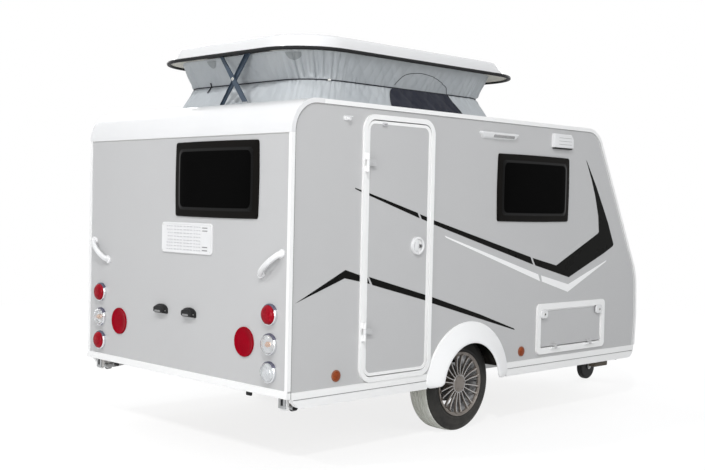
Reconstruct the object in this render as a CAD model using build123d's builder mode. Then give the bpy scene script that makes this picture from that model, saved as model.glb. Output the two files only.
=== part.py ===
"""Pop-top caravan: a small single-axle touring caravan with a lifting roof, standing on its jockey wheel.

Frame: +X forward to the hitch, +Y left, +Z up; origin on the ground under the middle of the box. Millimetres.
"""
import os
from math import cos, radians, sin

from build123d import *

os.makedirs("parts", exist_ok=True)

# ---- driving dimensions: body ----
body_length = 3457.0        # rear wall to the front wall at its fullest
body_width = 1990.0         # over the side walls
drawbar_reach = 1100.0      # front wall to the nose of the coupling
grab_stand = 39.0           # grab handle bar behind the rear wall
grab_bar = 13.0             # its radius
wall = 30.0                 # sandwich panels: sides, rear, front and roof
floor_thick = 45.0
roof_height = 1978.0        # roof skin above the ground
tyre_radius = 299.0
ride = 86.0                 # underside of the floor above the wheels' axis
floor_under = tyre_radius + ride
wall_bottom = floor_under + 21.0                    # lower edge of the panels above the ground

half_width = body_width / 2
rear_proud = grab_stand + grab_bar
rear_x = -(rear_proud + body_length + drawbar_reach) / 2 + rear_proud
nose_x = rear_x + body_length + drawbar_reach


def station(distance):
    """Frame x of a distance measured forward from the rear wall."""
    return rear_x + distance


# ---- side outline, measured from the rear wall ----
rear_corner_radius = 180.0
brow = body_length - 570.0  # where the roof line meets the sloping front
brow_radius = 190.0
breast = (body_length - 11.4, wall_bottom + 531.0)  # where the sloping front meets the lower front
breast_radius = 430.0
belly_height = wall_bottom + 219.0                  # the fullest point of the front
chin_inset = 13.4           # how far the front runs back in at its lower edge
trim_stand = 4.0            # corner profiles stand this proud of the panels
trim_width = 26.0           # their flange on the side walls
trim_return = 18.0          # and on the rear and front

# ---- fits ----
move_gap = 5.5              # clearance round every moving panel
seat_gap = 0.3              # clearance of a soft or loose piece at its seat
running = 0.05              # radial clearance of a shaft in its bore

# ---- wheels and axle ----
tyre_width = 185.0
tyre_inner_radius = 190.0
tyre_shoulder = 26.0
tyre_outer_face = half_width - 60.0                 # outer side wall of the tyre from the middle
stub_radius = 20.0
hub_radius = 62.0
drum_radius = 108.0

# ---- wheel arch ----
arch_cut_radius = tyre_radius + 53.0                # hole in the side wall
spat_radius = arch_cut_radius + 36.0                # outer edge of the moulded arch on the wall
spat_lip = arch_cut_radius - 79.0                   # radius of the arch's lip
spat_proud = 45.0
spat_thick = 6.0
spat_foot = wall_bottom - 90.0                      # its lower edge above the ground
wheel_box_top = 2 * tyre_radius + 70.0
wheel_box_half = tyre_radius + 47.0
wheel_box_inner = tyre_outer_face - tyre_width - 64.0           # inner side of the wheel housing
box_thick = 8.0

# ---- skirts and rear trim ----
skirt_bottom = spat_foot
skirt_groove = wall_bottom - 41.0
skirt_proud = 6.0
skirt_thick = 28.0
skirt_front_inset = 16.0
skirt_end_radius = 75.0
rear_trim_low = wall_bottom - 32.0
rear_trim_high = wall_bottom + 10.0
rear_trim_proud = 8.0

# ---- door ----
door_rear = 526.0           # outer edges of the door frame
door_front = 1128.0
door_low = wall_bottom + 1.0
door_high = 1925.0
door_radius = 90.0
frame_face = 25.0           # frame flange that laps over the wall
frame_sleeve = 4.0          # frame inside the wall cut-out
edging_width = 18.0         # white profile round the door leaf
edging_proud = 2.0
frame_proud = 12.0
door_proud = 5.0            # door skin outside the wall face
door_thick = 34.0
hinge_setback = 17.0        # hinge axis from the frame's outer edge
hinge_stand = 30.0          # hinge axis outside the wall face
hinge_heights = (door_low + 293.0, door_high - 275.0)
hinge_pin = 5.0
knuckle_radius = 9.0
knuckle_length = 34.0
knuckle_gap = 0.4
handle_station = door_front - 127.0
handle_height = 1178.0

arch_past_frame = 19.0      # how far the arch runs past the frame's front edge, below its rounded corner
axle_station = door_front + spat_radius - arch_past_frame
axle_x = station(axle_station)
axle_z = tyre_radius

# ---- windows ----
window_radius = 55.0
window_lap = 22.0           # pane beyond its hole in the wall
window_proud = 16.0
side_window = (body_length - 1709.0, body_length - 924.0, 1326.0, 1760.0)       # rear, front, low, high
rear_window = (-733.0, 35.0, 1323.0, 1757.0)        # right, left, low, high
front_window_width = 1150.0
front_window_height = 430.0
front_window_drop = 480.0   # its middle down the slope from the brow

# ---- side locker ----
locker = (body_length - 1257.0, body_length - 441.0, wall_bottom + 25.0, wall_bottom + 365.0)
locker_radius = 34.0
locker_face = 24.0
locker_sleeve = 18.0
flap_thick = 28.0
flap_pin = 4.0

# ---- fittings on the walls ----
awning_light = (1553.0, 1942.0, roof_height - 131.0, roof_height - 85.0)
vent_box = (body_length - 1130.0, body_length - 903.0, roof_height - 151.0, roof_height - 57.0)
light_proud = 30.0
box_proud = 26.0
side_lamp_stations = (354.0, 2042.0)
side_lamp_height = wall_bottom + 61.0
side_lamp_radius = 27.0
rear_lamp_y = half_width - 147.0
rear_lamp_heights = (wall_bottom + 96.0, wall_bottom + 247.0, wall_bottom + 407.0)
rear_lamp_radius = 60.0
rear_lamp_proud = 40.0
reflector_y = half_width - 365.0
reflector_height = wall_bottom + 238.0
reflector_radius = 83.0
plate_lamp_ys = (-111.0, 172.0)
plate_lamp_height = wall_bottom + 355.0
plate_lamp_width = 70.0
grille = (-327.0, 169.0, 1106.0, 1287.0)
grab_ends = ((half_width - 225.0, 1028.0), (half_width - 65.0, 1150.0))     # |y|, z of a grab handle's feet

# ---- lifting roof ----
lid_rear = 260.0            # rim of the lid
lid_front = body_length - 1078.0
lid_half = half_width - 219.0
lid_corner = 350.0
lid_rise = 324.0            # rim above the roof skin with the roof up
lid_down = 24.0             # and with the roof down
lid_edge = 30.0             # upright edge above the rim
lid_crown = 104.0           # top of the lid above its rim
lid_top_inset = 118.0       # the crown sits this far in from the rim
lid_wall = 22.0
seal_thick = 12.0
opening_rear = lid_rear + 210.0                     # hole in the roof under the lid
opening_front = lid_front - 319.0
opening_half = lid_half - 176.0
opening_radius = 120.0
canvas_thick = 6.0
canvas_foot = (lid_rear + 92.0, lid_front - 173.0, lid_half - 70.0, 250.0)      # rear, front, half width, radius
canvas_waist = (lid_rear + 184.0, lid_front - 269.0, lid_half - 130.0, 180.0)
canvas_head = (lid_rear + 92.0, lid_front - 157.0, lid_half - 70.0, 250.0)
waist_share = 163.0 / 324.0                         # height of the waist as a share of the rise
lid_rim_height = roof_height + lid_rise
lid_top = lid_rim_height + lid_crown
lid_travel = lid_rise - lid_down
canvas_waist_height = roof_height + waist_share * lid_rise

# ---- scissor lift, one at each end of the lid ----
scissor_y = -85.0
scissor_angle = 50.6        # arm slope with the roof up
scissor_low_angle = 1.7     # and with the roof down
bar_thick = 5.0
bar_width = 24.0
bar_gap = 3.0
bar_pin = 5.0
scissor_inset = 54.0        # outer face of each pair of bars inside the lid's rim

# ---- chassis ----
rail_y = wheel_box_inner - 54.0
rail_width = 44.0
rail_depth = 80.0
rail_rear_depth = 46.0
rail_rear = 140.0
rail_taper = 480.0          # where the rail reaches its full depth
rail_bend = body_length - 1007.0                    # where it turns in towards the hitch
rail_nose_y = 62.0
rail_nose = body_length + drawbar_reach - 367.0
cross_stations = (700.0, rail_bend - 60.0, body_length - 207.0)
cross_depth = 60.0
axle_tube_ahead = 165.0     # axle tube in front of the wheel
axle_tube_radius = 42.0
arm_thick = 26.0

# ---- hitch ----
ball_radius = 25.1          # socket for a 50 mm ball
ball_height = 432.0
ball_setback = 52.0         # socket centre behind the nose
shaft_radius = 24.0
brake_station = body_length + drawbar_reach - 472.0
brake_length = 420.0

# ---- jockey wheel ----
jockey_station = body_length + drawbar_reach - 547.0
jockey_y = -232.0
jockey_tube_radius = 24.0
jockey_stem_radius = 19.0
jockey_tube_low = floor_under - 73.0
jockey_tube_high = 700.0
jockey_wheel_radius = 100.0
jockey_wheel_width = 50.0
jockey_trail = 38.0
fork_plate = 6.0

# ---- corner steadies ----
steady_y = half_width - 77.0
steady_rear_foot = 100.0    # station of the rear feet
steady_front_foot = body_length - 167.0
steady_reach = 360.0        # pivot to foot
steady_pivot_z = floor_under - 34.0
steady_foot_drop = 38.0     # stowed foot below its pivot
steady_width = 44.0
foot_radius = 17.0


# ---------------------------------------------------------------- outlines shared by several pieces
def across(y):
    """Upright plane facing -Y at that y, so an extrusion from it runs towards -Y."""
    return Plane.XZ.offset(-y)


def facing(x):
    """Upright plane facing +X at that x."""
    return Plane.YZ.offset(x)


def rectangle_between(low_u, high_u, low_v, high_v, radius):
    """Rounded rectangle by its four limits, for use inside a sketch."""
    with Locations(((low_u + high_u) / 2, (low_v + high_v) / 2)):
        RectangleRounded(high_u - low_u, high_v - low_v, radius)


def save(piece, name):
    piece.label = name
    export_step(piece, f"parts/{name}.step")


with BuildSketch() as body_outline:
    with BuildLine():
        FilletPolyline(
            (rear_x, wall_bottom + 1),
            (rear_x, roof_height),
            (station(brow), roof_height),
            (station(breast[0]), breast[1]),
            (station(body_length), belly_height),
            (station(body_length - chin_inset), wall_bottom),
            radius=(rear_corner_radius, brow_radius, breast_radius, breast_radius),
        )
        Line((station(body_length - chin_inset), wall_bottom), (rear_x, wall_bottom))
        Line((rear_x, wall_bottom), (rear_x, wall_bottom + 1))
    make_face()


def grown(amount):
    """The side outline moved outwards by that amount."""
    with BuildSketch() as area:
        add(body_outline.sketch)
        offset(amount=amount, mode=Mode.REPLACE)
    return area.sketch


def band(outer, inner, rear, front, low, high):
    """Strip of the side outline between two offsets, open at the floor, within a window of stations and heights."""
    inner_area = grown(inner)
    outer_area = grown(outer)
    edge = max(-inner, 1)
    with BuildSketch() as floor_mouth:
        rectangle_between(
            station(edge), station(body_length - chin_inset - edge), wall_bottom - wall, wall_bottom + edge + 2, 0.5
        )
    with BuildSketch() as strip:
        add(outer_area)
        add(inner_area, mode=Mode.SUBTRACT)
        add(floor_mouth.sketch, mode=Mode.SUBTRACT)
        with Locations(((station(rear) + station(front)) / 2, (low + high) / 2)):
            Rectangle(front - rear, high - low, mode=Mode.INTERSECT)
    return strip.sketch


beyond = 60.0               # well outside the outline
cap_low = 1788.0            # lower edge of the moulded rear cap
cap_front = 230.0           # its front edge on the roof
brow_start = brow - 117.0   # seam between roof and front wall
all_front = body_length + beyond
cap_skin = trim_stand + 1

rear_band = band(0, -wall, -beyond, rear_corner_radius, wall_bottom, cap_low)
cap_band = band(cap_skin, -wall, -beyond, cap_front, cap_low, roof_height + beyond)
cap_shell = band(cap_skin, 0, -beyond, cap_front, cap_low, roof_height + beyond)
cap_cheek = band(cap_skin, -trim_width, -beyond, cap_front, cap_low, roof_height + beyond)
roof_band = band(0, -wall, cap_front, brow_start, roof_height / 2 + wall_bottom, roof_height + beyond)
front_band = band(0, -wall, brow_start, all_front, wall_bottom, roof_height + beyond)
rear_trim_cheek = band(trim_stand, -trim_width, -beyond, rear_corner_radius, rear_trim_high, cap_low)
rear_trim_edge = band(trim_stand, 0, -beyond, rear_corner_radius, rear_trim_high, cap_low)
front_trim_cheek = band(trim_stand, -trim_width, cap_front, all_front, wall_bottom, roof_height + beyond)
front_trim_edge = band(trim_stand, 0, cap_front, all_front, wall_bottom, roof_height + beyond)

inside = half_width - wall
skin = half_width + trim_stand

door_opening = frame_face + frame_sleeve
locker_opening = locker_face + locker_sleeve


def inset_rectangle(limits, inset, radius):
    """Rounded rectangle on a side wall from (rear, front, low, high), moved in by `inset`."""
    rear, front, low, high = limits
    rectangle_between(
        station(rear) + inset, station(front) - inset, low + inset, high - inset, max(radius - inset, 8)
    )


door_limits = (door_rear, door_front, door_low, door_high)

# ---------------------------------------------------------------- body panels
with BuildPart() as floor_panel:
    with BuildSketch(Plane.XY.offset(floor_under)):
        rectangle_between(station(wall), station(body_length - chin_inset - wall), -inside, inside, 1)
        for side in (-1, 1):
            with Locations((axle_x, side * (wheel_box_inner - box_thick + inside) / 2)):
                Rectangle(
                    2 * (wheel_box_half + box_thick), inside - wheel_box_inner + box_thick, mode=Mode.SUBTRACT
                )
    extrude(amount=floor_thick)
save(floor_panel.part, "floor_panel")

with BuildPart() as side_wall_right:
    with BuildSketch(across(-inside)):
        add(body_outline.sketch)
        with BuildSketch(mode=Mode.PRIVATE) as holes:
            inset_rectangle(door_limits, frame_face, door_radius)
            inset_rectangle(side_window, window_lap, window_radius)
            inset_rectangle(locker, locker_face, locker_radius)
            with Locations((axle_x, axle_z)):
                Circle(arch_cut_radius)
        add(holes.sketch, mode=Mode.SUBTRACT)
    extrude(amount=wall)
save(side_wall_right.part, "side_wall_right")

with BuildPart() as side_wall_left:
    with BuildSketch(across(half_width)):
        add(body_outline.sketch)
        with BuildSketch(mode=Mode.PRIVATE) as holes:
            inset_rectangle(side_window, window_lap, window_radius)
            with Locations((axle_x, axle_z)):
                Circle(arch_cut_radius)
        add(holes.sketch, mode=Mode.SUBTRACT)
    extrude(amount=wall)
save(side_wall_left.part, "side_wall_left")

with BuildPart() as rear_wall:
    with BuildSketch(across(inside)):
        add(rear_band)
    extrude(amount=2 * inside)
    with BuildSketch(facing(rear_x)):
        rectangle_between(
            rear_window[0] + window_lap, rear_window[1] - window_lap,
            rear_window[2] + window_lap, rear_window[3] - window_lap, window_radius - window_lap,
        )
    extrude(amount=wall, mode=Mode.SUBTRACT)
save(rear_wall.part, "rear_wall")

with BuildPart() as rear_roof_cap:
    with BuildSketch(across(inside)):
        add(cap_band)
    extrude(amount=2 * inside)
    with BuildSketch(across(skin)):
        add(cap_shell)
    extrude(amount=2 * skin)
    with BuildSketch(across(skin), across(-half_width)):
        add(cap_cheek)
    extrude(amount=trim_stand)
save(rear_roof_cap.part, "rear_roof_cap")

with BuildPart() as roof_panel:
    with BuildSketch(across(inside)):
        add(roof_band)
    extrude(amount=2 * inside)
    with BuildSketch(Plane.XY.offset(roof_height)):
        rectangle_between(
            station(opening_rear), station(opening_front), -opening_half, opening_half, opening_radius
        )
    extrude(amount=-wall, mode=Mode.SUBTRACT)
save(roof_panel.part, "roof_panel")

slope = Vector(breast[0] - brow, 0, breast[1] - roof_height).normalized()
slope_out = Vector(-slope.Z, 0, slope.X)
window_middle = Vector(station(brow), 0, roof_height) + slope * front_window_drop
slope_plane = Plane(origin=window_middle, x_dir=(0, 1, 0), z_dir=slope_out)

with BuildPart() as front_wall:
    with BuildSketch(across(inside)):
        add(front_band)
    extrude(amount=2 * inside)
    with BuildSketch(slope_plane):
        RectangleRounded(
            front_window_width - 2 * window_lap, front_window_height - 2 * window_lap, window_radius - window_lap
        )
    extrude(amount=-wall, mode=Mode.SUBTRACT)
save(front_wall.part, "front_wall")

for side, trim_name in ((-1, "corner_trim_right"), (1, "corner_trim_left")):
    cheek_plane = across(-half_width) if side < 0 else across(skin)
    edge_plane = across(-half_width + trim_return) if side < 0 else across(skin)
    with BuildPart() as corner_trim:
        with BuildSketch(cheek_plane):
            add(rear_trim_cheek)
            add(front_trim_cheek)
        extrude(amount=trim_stand)
        with BuildSketch(edge_plane):
            add(rear_trim_edge)
            add(front_trim_edge)
        extrude(amount=trim_return + trim_stand)
    save(corner_trim.part, trim_name)

with BuildPart() as rear_bottom_trim:
    with BuildSketch(across(skin)):
        rectangle_between(rear_x - rear_trim_proud, rear_x, rear_trim_low, rear_trim_high, 3)
        rectangle_between(rear_x - rear_trim_proud, station(wall), rear_trim_low, wall_bottom, 3)
    extrude(amount=2 * skin)
save(rear_bottom_trim.part, "rear_bottom_trim")

for side, skirt_name in ((-1, "skirt_right"), (1, "skirt_left")):
    outer_face = side * (half_width + skirt_proud)
    with BuildPart() as skirt:
        with BuildSketch(across(max(outer_face, outer_face - side * skirt_thick))):
            with BuildLine():
                FilletPolyline(
                    (station(wall) + 0.5, wall_bottom),
                    (station(wall) + 0.5, skirt_bottom),
                    (station(body_length - chin_inset - skirt_front_inset), skirt_bottom),
                    (station(body_length - chin_inset - skirt_front_inset), wall_bottom),
                    radius=skirt_end_radius,
                )
                Line(
                    (station(body_length - chin_inset - skirt_front_inset), wall_bottom),
                    (station(wall) + 0.5, wall_bottom),
                )
            make_face()
            with Locations((axle_x, axle_z)):
                Circle(spat_radius + seat_gap, mode=Mode.SUBTRACT)
        extrude(amount=skirt_thick)
        with Locations((0, outer_face, skirt_groove)):
            Box(2 * body_length, 8, 5, mode=Mode.SUBTRACT)
    save(skirt.part, skirt_name)

# moulded arch over each wheel: a lip section turned about the wheel and cut off at its feet
with BuildPart() as wheel_arches:
    for side in (-1, 1):
        wall_face = side * half_width
        with BuildSketch(Plane(origin=(axle_x, wall_face, axle_z), x_dir=(1, 0, 0), z_dir=(0, 0, 1))):
            with BuildLine():
                crown_u = spat_radius - 68
                lip_u = spat_lip
                out = side * spat_proud
                step = side * spat_thick
                Line((spat_radius - spat_thick, 0), (spat_radius, 0))
                ThreePointArc((spat_radius, 0), (spat_radius - 21, 0.74 * out), (crown_u, out))
                Line((crown_u, out), (lip_u, 0.62 * out))
                Line((lip_u, 0.62 * out), (lip_u, 0.62 * out - step))
                Line((lip_u, 0.62 * out - step), (crown_u, out - step))
                ThreePointArc(
                    (crown_u, out - step), (spat_radius - 25, 0.74 * out - step), (spat_radius - spat_thick, 0)
                )
            make_face()
        revolve(axis=Axis((axle_x, 0, axle_z), (0, 1, 0)))
    split(bisect_by=Plane.XY.offset(spat_foot), keep=Keep.TOP)
save(wheel_arches.part, "wheel_arches")

with BuildPart() as wheel_boxes:
    for side in (-1, 1):
        low_y, high_y = sorted((side * (wheel_box_inner - box_thick), side * inside))
        with BuildSketch(across(high_y)):
            rectangle_between(
                axle_x - wheel_box_half - box_thick, axle_x + wheel_box_half + box_thick,
                floor_under, wheel_box_top + box_thick, 6,
            )
        extrude(amount=high_y - low_y)
    for side in (-1, 1):
        low_y, high_y = sorted((side * wheel_box_inner, side * (inside + 1)))
        with BuildSketch(across(high_y)):
            rectangle_between(
                axle_x - wheel_box_half, axle_x + wheel_box_half, floor_under - beyond, wheel_box_top, 4
            )
        extrude(amount=high_y - low_y, mode=Mode.SUBTRACT)
save(wheel_boxes.part, "wheel_boxes")

# ---------------------------------------------------------------- entrance door
hinge_x = station(door_rear + hinge_setback)
hinge_y = -(half_width + hinge_stand)
flange_y = -(half_width + frame_proud)
knuckle_step = knuckle_length + knuckle_gap
strap = 6.0
strap_reach = 72.0
leaf_inset = door_opening + move_gap

with BuildPart() as door_frame:
    with BuildSketch(across(-half_width)):
        inset_rectangle(door_limits, 0, door_radius)
        with BuildSketch(mode=Mode.PRIVATE) as gap:
            inset_rectangle(door_limits, door_opening, door_radius)
        add(gap.sketch, mode=Mode.SUBTRACT)
    extrude(amount=frame_proud)
    with BuildSketch(across(-inside)):
        inset_rectangle(door_limits, frame_face, door_radius)
        add(gap.sketch, mode=Mode.SUBTRACT)
    extrude(amount=wall)
    for height in hinge_heights:
        for level in (height - knuckle_step, height + knuckle_step):
            with Locations((hinge_x, hinge_y, level)):
                Cylinder(knuckle_radius, knuckle_length)
            with Locations((hinge_x, (hinge_y + flange_y) / 2, level)):
                Box(2 * knuckle_radius - 4, abs(hinge_y - flange_y) + 2, knuckle_length)
        with Locations((hinge_x, hinge_y, height)):
            Cylinder(hinge_pin, 2 * knuckle_step)
save(door_frame.part, "door_frame")

with BuildPart() as entrance_door:
    with BuildSketch(across(-(half_width + door_proud - door_thick))):
        inset_rectangle(door_limits, leaf_inset + edging_width, door_radius)
    extrude(amount=door_thick)
    leaf_face = -(half_width + door_proud)
    strap_y = flange_y - move_gap - strap / 2
    for height in hinge_heights:
        with Locations((hinge_x, hinge_y, height)):
            Cylinder(knuckle_radius, knuckle_length)
        with Locations((hinge_x + strap_reach / 2, strap_y, height)):
            Box(strap_reach, strap, knuckle_length)
        with Locations((hinge_x + strap_reach - 15, (strap_y + leaf_face) / 2, height)):
            Box(30, abs(strap_y - leaf_face), knuckle_length)
        with Locations((hinge_x, hinge_y, height)):
            Cylinder(hinge_pin + running, knuckle_length, mode=Mode.SUBTRACT)
save(entrance_door.part, "entrance_door")

with BuildPart() as door_edging:
    with BuildSketch(across(-(half_width + door_proud - door_thick))):
        inset_rectangle(door_limits, leaf_inset, door_radius)
        with BuildSketch(mode=Mode.PRIVATE) as leaf:
            inset_rectangle(door_limits, leaf_inset + edging_width, door_radius)
        add(leaf.sketch, mode=Mode.SUBTRACT)
    extrude(amount=door_thick + edging_proud)
save(door_edging.part, "door_edging")

with BuildPart() as door_handle:
    with BuildSketch(across(leaf_face)):
        with Locations((station(handle_station), handle_height)):
            Circle(43)
    extrude(amount=9)
    with BuildSketch(across(leaf_face - 9)):
        with Locations((station(handle_station), handle_height)):
            SlotOverall(66, 30)
    extrude(amount=14)
save(door_handle.part, "door_handle")


# ---------------------------------------------------------------- windows
def window_frame_and_pane(plane, width, height, outward):
    """Pane lapped over the wall, with a frame inside the hole, on a plane at the wall's outer face."""
    with BuildSketch(plane) as pane:
        RectangleRounded(width, height, window_radius)
    hole = (width - 2 * window_lap, height - 2 * window_lap)
    with BuildSketch(plane) as sleeve:
        RectangleRounded(*hole, window_radius - window_lap)
        RectangleRounded(hole[0] - 24, hole[1] - 24, window_radius - window_lap - 8, mode=Mode.SUBTRACT)
    extrude(pane.sketch, amount=outward * window_proud)
    extrude(sleeve.sketch, amount=-outward * wall)


with BuildPart() as side_windows:
    middle_x = station((side_window[0] + side_window[1]) / 2)
    middle_z = (side_window[2] + side_window[3]) / 2
    for side in (-1, 1):
        plane = Plane(origin=(middle_x, side * half_width, middle_z), x_dir=(1, 0, 0), z_dir=(0, -1, 0))
        window_frame_and_pane(plane, side_window[1] - side_window[0], side_window[3] - side_window[2], -side)
save(side_windows.part, "side_windows")

with BuildPart() as rear_window_unit:
    middle_y = (rear_window[0] + rear_window[1]) / 2
    middle_z = (rear_window[2] + rear_window[3]) / 2
    plane = Plane(origin=(rear_x, middle_y, middle_z), x_dir=(0, 1, 0), z_dir=(1, 0, 0))
    window_frame_and_pane(plane, rear_window[1] - rear_window[0], rear_window[3] - rear_window[2], -1)
save(rear_window_unit.part, "rear_window")

with BuildPart() as front_window:
    window_frame_and_pane(slope_plane, front_window_width, front_window_height, 1)
save(front_window.part, "front_window")

# ---------------------------------------------------------------- side locker
flap_axis_y = -(half_width + frame_proud + 9.5)
flap_axis_z = locker[2] + locker_opening - 7
flap_hinges = (locker[0] + 200, locker[1] - 200)
flap_knuckle = 6.5

with BuildPart() as locker_frame:
    with BuildSketch(across(-half_width)):
        inset_rectangle(locker, 0, locker_radius)
        with BuildSketch(mode=Mode.PRIVATE) as gap:
            inset_rectangle(locker, locker_opening, locker_radius)
        add(gap.sketch, mode=Mode.SUBTRACT)
    extrude(amount=frame_proud)
    with BuildSketch(across(-inside)):
        inset_rectangle(locker, locker_face, locker_radius)
        add(gap.sketch, mode=Mode.SUBTRACT)
    extrude(amount=wall)
    for place in flap_hinges:
        for along in (-knuckle_step, knuckle_step):
            with Locations(Location((station(place) + along, flap_axis_y, flap_axis_z), (0, 90, 0))):
                Cylinder(flap_knuckle, knuckle_length)
            with Locations((station(place) + along, (flap_axis_y + flange_y) / 2, flap_axis_z)):
                Box(knuckle_length, abs(flap_axis_y - flange_y) + 2, 2 * flap_knuckle - 3)
        with Locations(Location((station(place), flap_axis_y, flap_axis_z), (0, 90, 0))):
            Cylinder(flap_pin, 2 * knuckle_step)
save(locker_frame.part, "locker_frame")

with BuildPart() as locker_flap:
    flap_face = -(half_width + door_proud - 2)
    with BuildSketch(across(flap_face + flap_thick)):
        inset_rectangle(locker, locker_opening + move_gap, locker_radius)
    extrude(amount=flap_thick)
    for place in flap_hinges:
        with Locations(Location((station(place), flap_axis_y, flap_axis_z), (0, 90, 0))):
            Cylinder(flap_knuckle, knuckle_length)
        with Locations((station(place), flap_axis_y, flap_axis_z + 13)):
            Box(knuckle_length, 5, 26)
        with Locations((station(place), (flap_axis_y + flap_face) / 2, flap_axis_z + 19.5)):
            Box(knuckle_length, abs(flap_axis_y - flap_face) + 2, 13)
        with Locations(Location((station(place), flap_axis_y, flap_axis_z), (0, 90, 0))):
            Cylinder(flap_pin + running, knuckle_length, mode=Mode.SUBTRACT)
    with BuildSketch(across(flap_face)):
        for place in (locker[0] + locker_opening + 45, locker[1] - locker_opening - 45):
            with Locations((station(place), locker[3] - locker_opening - 34)):
                SlotOverall(46, 22)
    extrude(amount=9)
save(locker_flap.part, "locker_flap")

# ---------------------------------------------------------------- fittings
with BuildPart() as awning_light_unit:
    with BuildSketch(across(-half_width)):
        inset_rectangle(awning_light, 0, 10)
    extrude(amount=light_proud)
save(awning_light_unit.part, "awning_light")

with BuildPart() as vent_box_unit:
    with BuildSketch(across(-half_width)):
        inset_rectangle(vent_box, 0, 10)
    extrude(amount=box_proud)
save(vent_box_unit.part, "vent_box")

with BuildPart() as vent_grille:
    with BuildSketch(facing(rear_x)):
        rectangle_between(*grille, 22)
    extrude(amount=-10)
save(vent_grille.part, "vent_grille")

with BuildPart() as side_lights:
    for side in (-1, 1):
        with BuildSketch(across(side * half_width)):
            with Locations(*[(station(place), side_lamp_height) for place in side_lamp_stations]):
                Circle(side_lamp_radius)
        extrude(amount=-side * 14)
save(side_lights.part, "side_lights")

with BuildPart() as rear_lamps:
    with BuildSketch(facing(rear_x)):
        with Locations(*[(side * rear_lamp_y, height) for side in (-1, 1) for height in rear_lamp_heights]):
            Circle(rear_lamp_radius)
    extrude(amount=-rear_lamp_proud)
    fillet(rear_lamps.edges().group_by(Axis.X)[0], 18)
save(rear_lamps.part, "rear_lamps")

with BuildPart() as rear_reflectors:
    with BuildSketch(facing(rear_x)):
        with Locations((-reflector_y, reflector_height), (reflector_y, reflector_height)):
            Circle(reflector_radius)
    extrude(amount=-9)
save(rear_reflectors.part, "rear_reflectors")

with BuildPart() as plate_lamps:
    with BuildSketch(facing(rear_x)):
        with Locations(*[(place, plate_lamp_height) for place in plate_lamp_ys]):
            SlotOverall(2 * plate_lamp_width, 62)
    extrude(amount=-34)
    fillet(plate_lamps.edges().group_by(Axis.X)[0], 14)
save(plate_lamps.part, "plate_lamps")

with BuildPart() as grab_handles:
    for side in (-1, 1):
        (inner_y, inner_z), (outer_y, outer_z) = grab_ends
        with BuildLine() as bar_line:
            FilletPolyline(
                (rear_x, side * inner_y, inner_z),
                (rear_x - grab_stand, side * inner_y, inner_z),
                (rear_x - grab_stand, side * outer_y, outer_z),
                (rear_x, side * outer_y, outer_z),
                radius=22,
            )
        with BuildSketch(Plane(origin=(rear_x, side * inner_y, inner_z), z_dir=(-1, 0, 0))):
            Circle(grab_bar)
        sweep(path=bar_line.line)
save(grab_handles.part, "grab_handles")

# ---------------------------------------------------------------- chassis
rail_top = floor_under
rail_low = rail_top - rail_depth
half_rail = rail_width / 2

for side, rail_name in ((-1, "chassis_member_right"), (1, "chassis_member_left")):
    with BuildPart() as chassis_member:
        with BuildSketch(Plane.XY.offset(rail_low)):
            with BuildLine():
                Polyline(
                    (station(rail_rear), side * (rail_y - half_rail)),
                    (station(rail_bend), side * (rail_y - half_rail)),
                    (station(rail_nose), side * (rail_nose_y - half_rail)),
                    (station(rail_nose), side * (rail_nose_y + half_rail)),
                    (station(rail_bend), side * (rail_y + half_rail)),
                    (station(rail_rear), side * (rail_y + half_rail)),
                    close=True,
                )
            make_face()
        extrude(amount=rail_depth)
        with BuildSketch(across(side * rail_y + rail_width)):
            with BuildLine():
                Polyline(
                    (station(rail_rear - 1), rail_low - 1),
                    (station(rail_taper), rail_low - 1),
                    (station(rail_taper), rail_low),
                    (station(rail_rear - 1), rail_top - rail_rear_depth),
                    close=True,
                )
            make_face()
        extrude(amount=2 * rail_width, mode=Mode.SUBTRACT)
    save(chassis_member.part, rail_name)


def member_y(place):
    """Middle of the right-hand member's width at a station, as a distance from the centre line."""
    run = max(0.0, place - rail_bend) / (rail_nose - rail_bend)
    return rail_y + (rail_nose_y - rail_y) * run


with BuildPart() as cross_members:
    for place in cross_stations:
        reach = member_y(place + half_rail) - half_rail - 6
        with Locations((station(place), 0, rail_top - cross_depth / 2)):
            Box(40, 2 * reach, cross_depth)
save(cross_members.part, "cross_members")

tube_x = axle_x + axle_tube_ahead
tube_z = rail_low - axle_tube_radius
tube_half = rail_y + half_rail + 8

with BuildPart() as axle_tube:
    with BuildSketch(across(tube_half)):
        with Locations((tube_x, tube_z)):
            RegularPolygon(axle_tube_radius, 6, major_radius=False)
    extrude(amount=2 * tube_half)
    for side in (-1, 1):
        with Locations((tube_x, side * rail_y, (tube_z + rail_low) / 2)):
            Box(150, rail_width, rail_low - tube_z)
save(axle_tube.part, "axle_tube")

arm_inner = tube_half
stub_end = tyre_outer_face - 68
drum_inner = arm_inner + arm_thick + move_gap

with BuildPart() as swing_arms:
    for side in (-1, 1):
        arm_y = max(side * arm_inner, side * (arm_inner + arm_thick))
        with BuildSketch(across(arm_y)):
            with Locations((tube_x, tube_z)):
                Circle(axle_tube_radius)
            with Locations((axle_x, axle_z)):
                Circle(44)
            make_hull()
        extrude(amount=arm_thick)
        with BuildSketch(across(max(side * arm_inner, side * stub_end))):
            with Locations((axle_x, axle_z)):
                Circle(stub_radius)
        extrude(amount=stub_end - arm_inner)
save(swing_arms.part, "swing_arms")

# ---------------------------------------------------------------- wheels
bead_notch = 12.0
flange_thick = 8.0


def wheel_section(side):
    """Plane through the wheel's axis: first direction outwards from the axis, second towards the outside."""
    return Plane(origin=(axle_x, 0, axle_z), x_dir=(1, 0, 0), z_dir=(0, 0, side))


wheel_axis = Axis((axle_x, 0, axle_z), (0, 1, 0))
tyre_inner_face = tyre_outer_face - tyre_width

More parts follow.
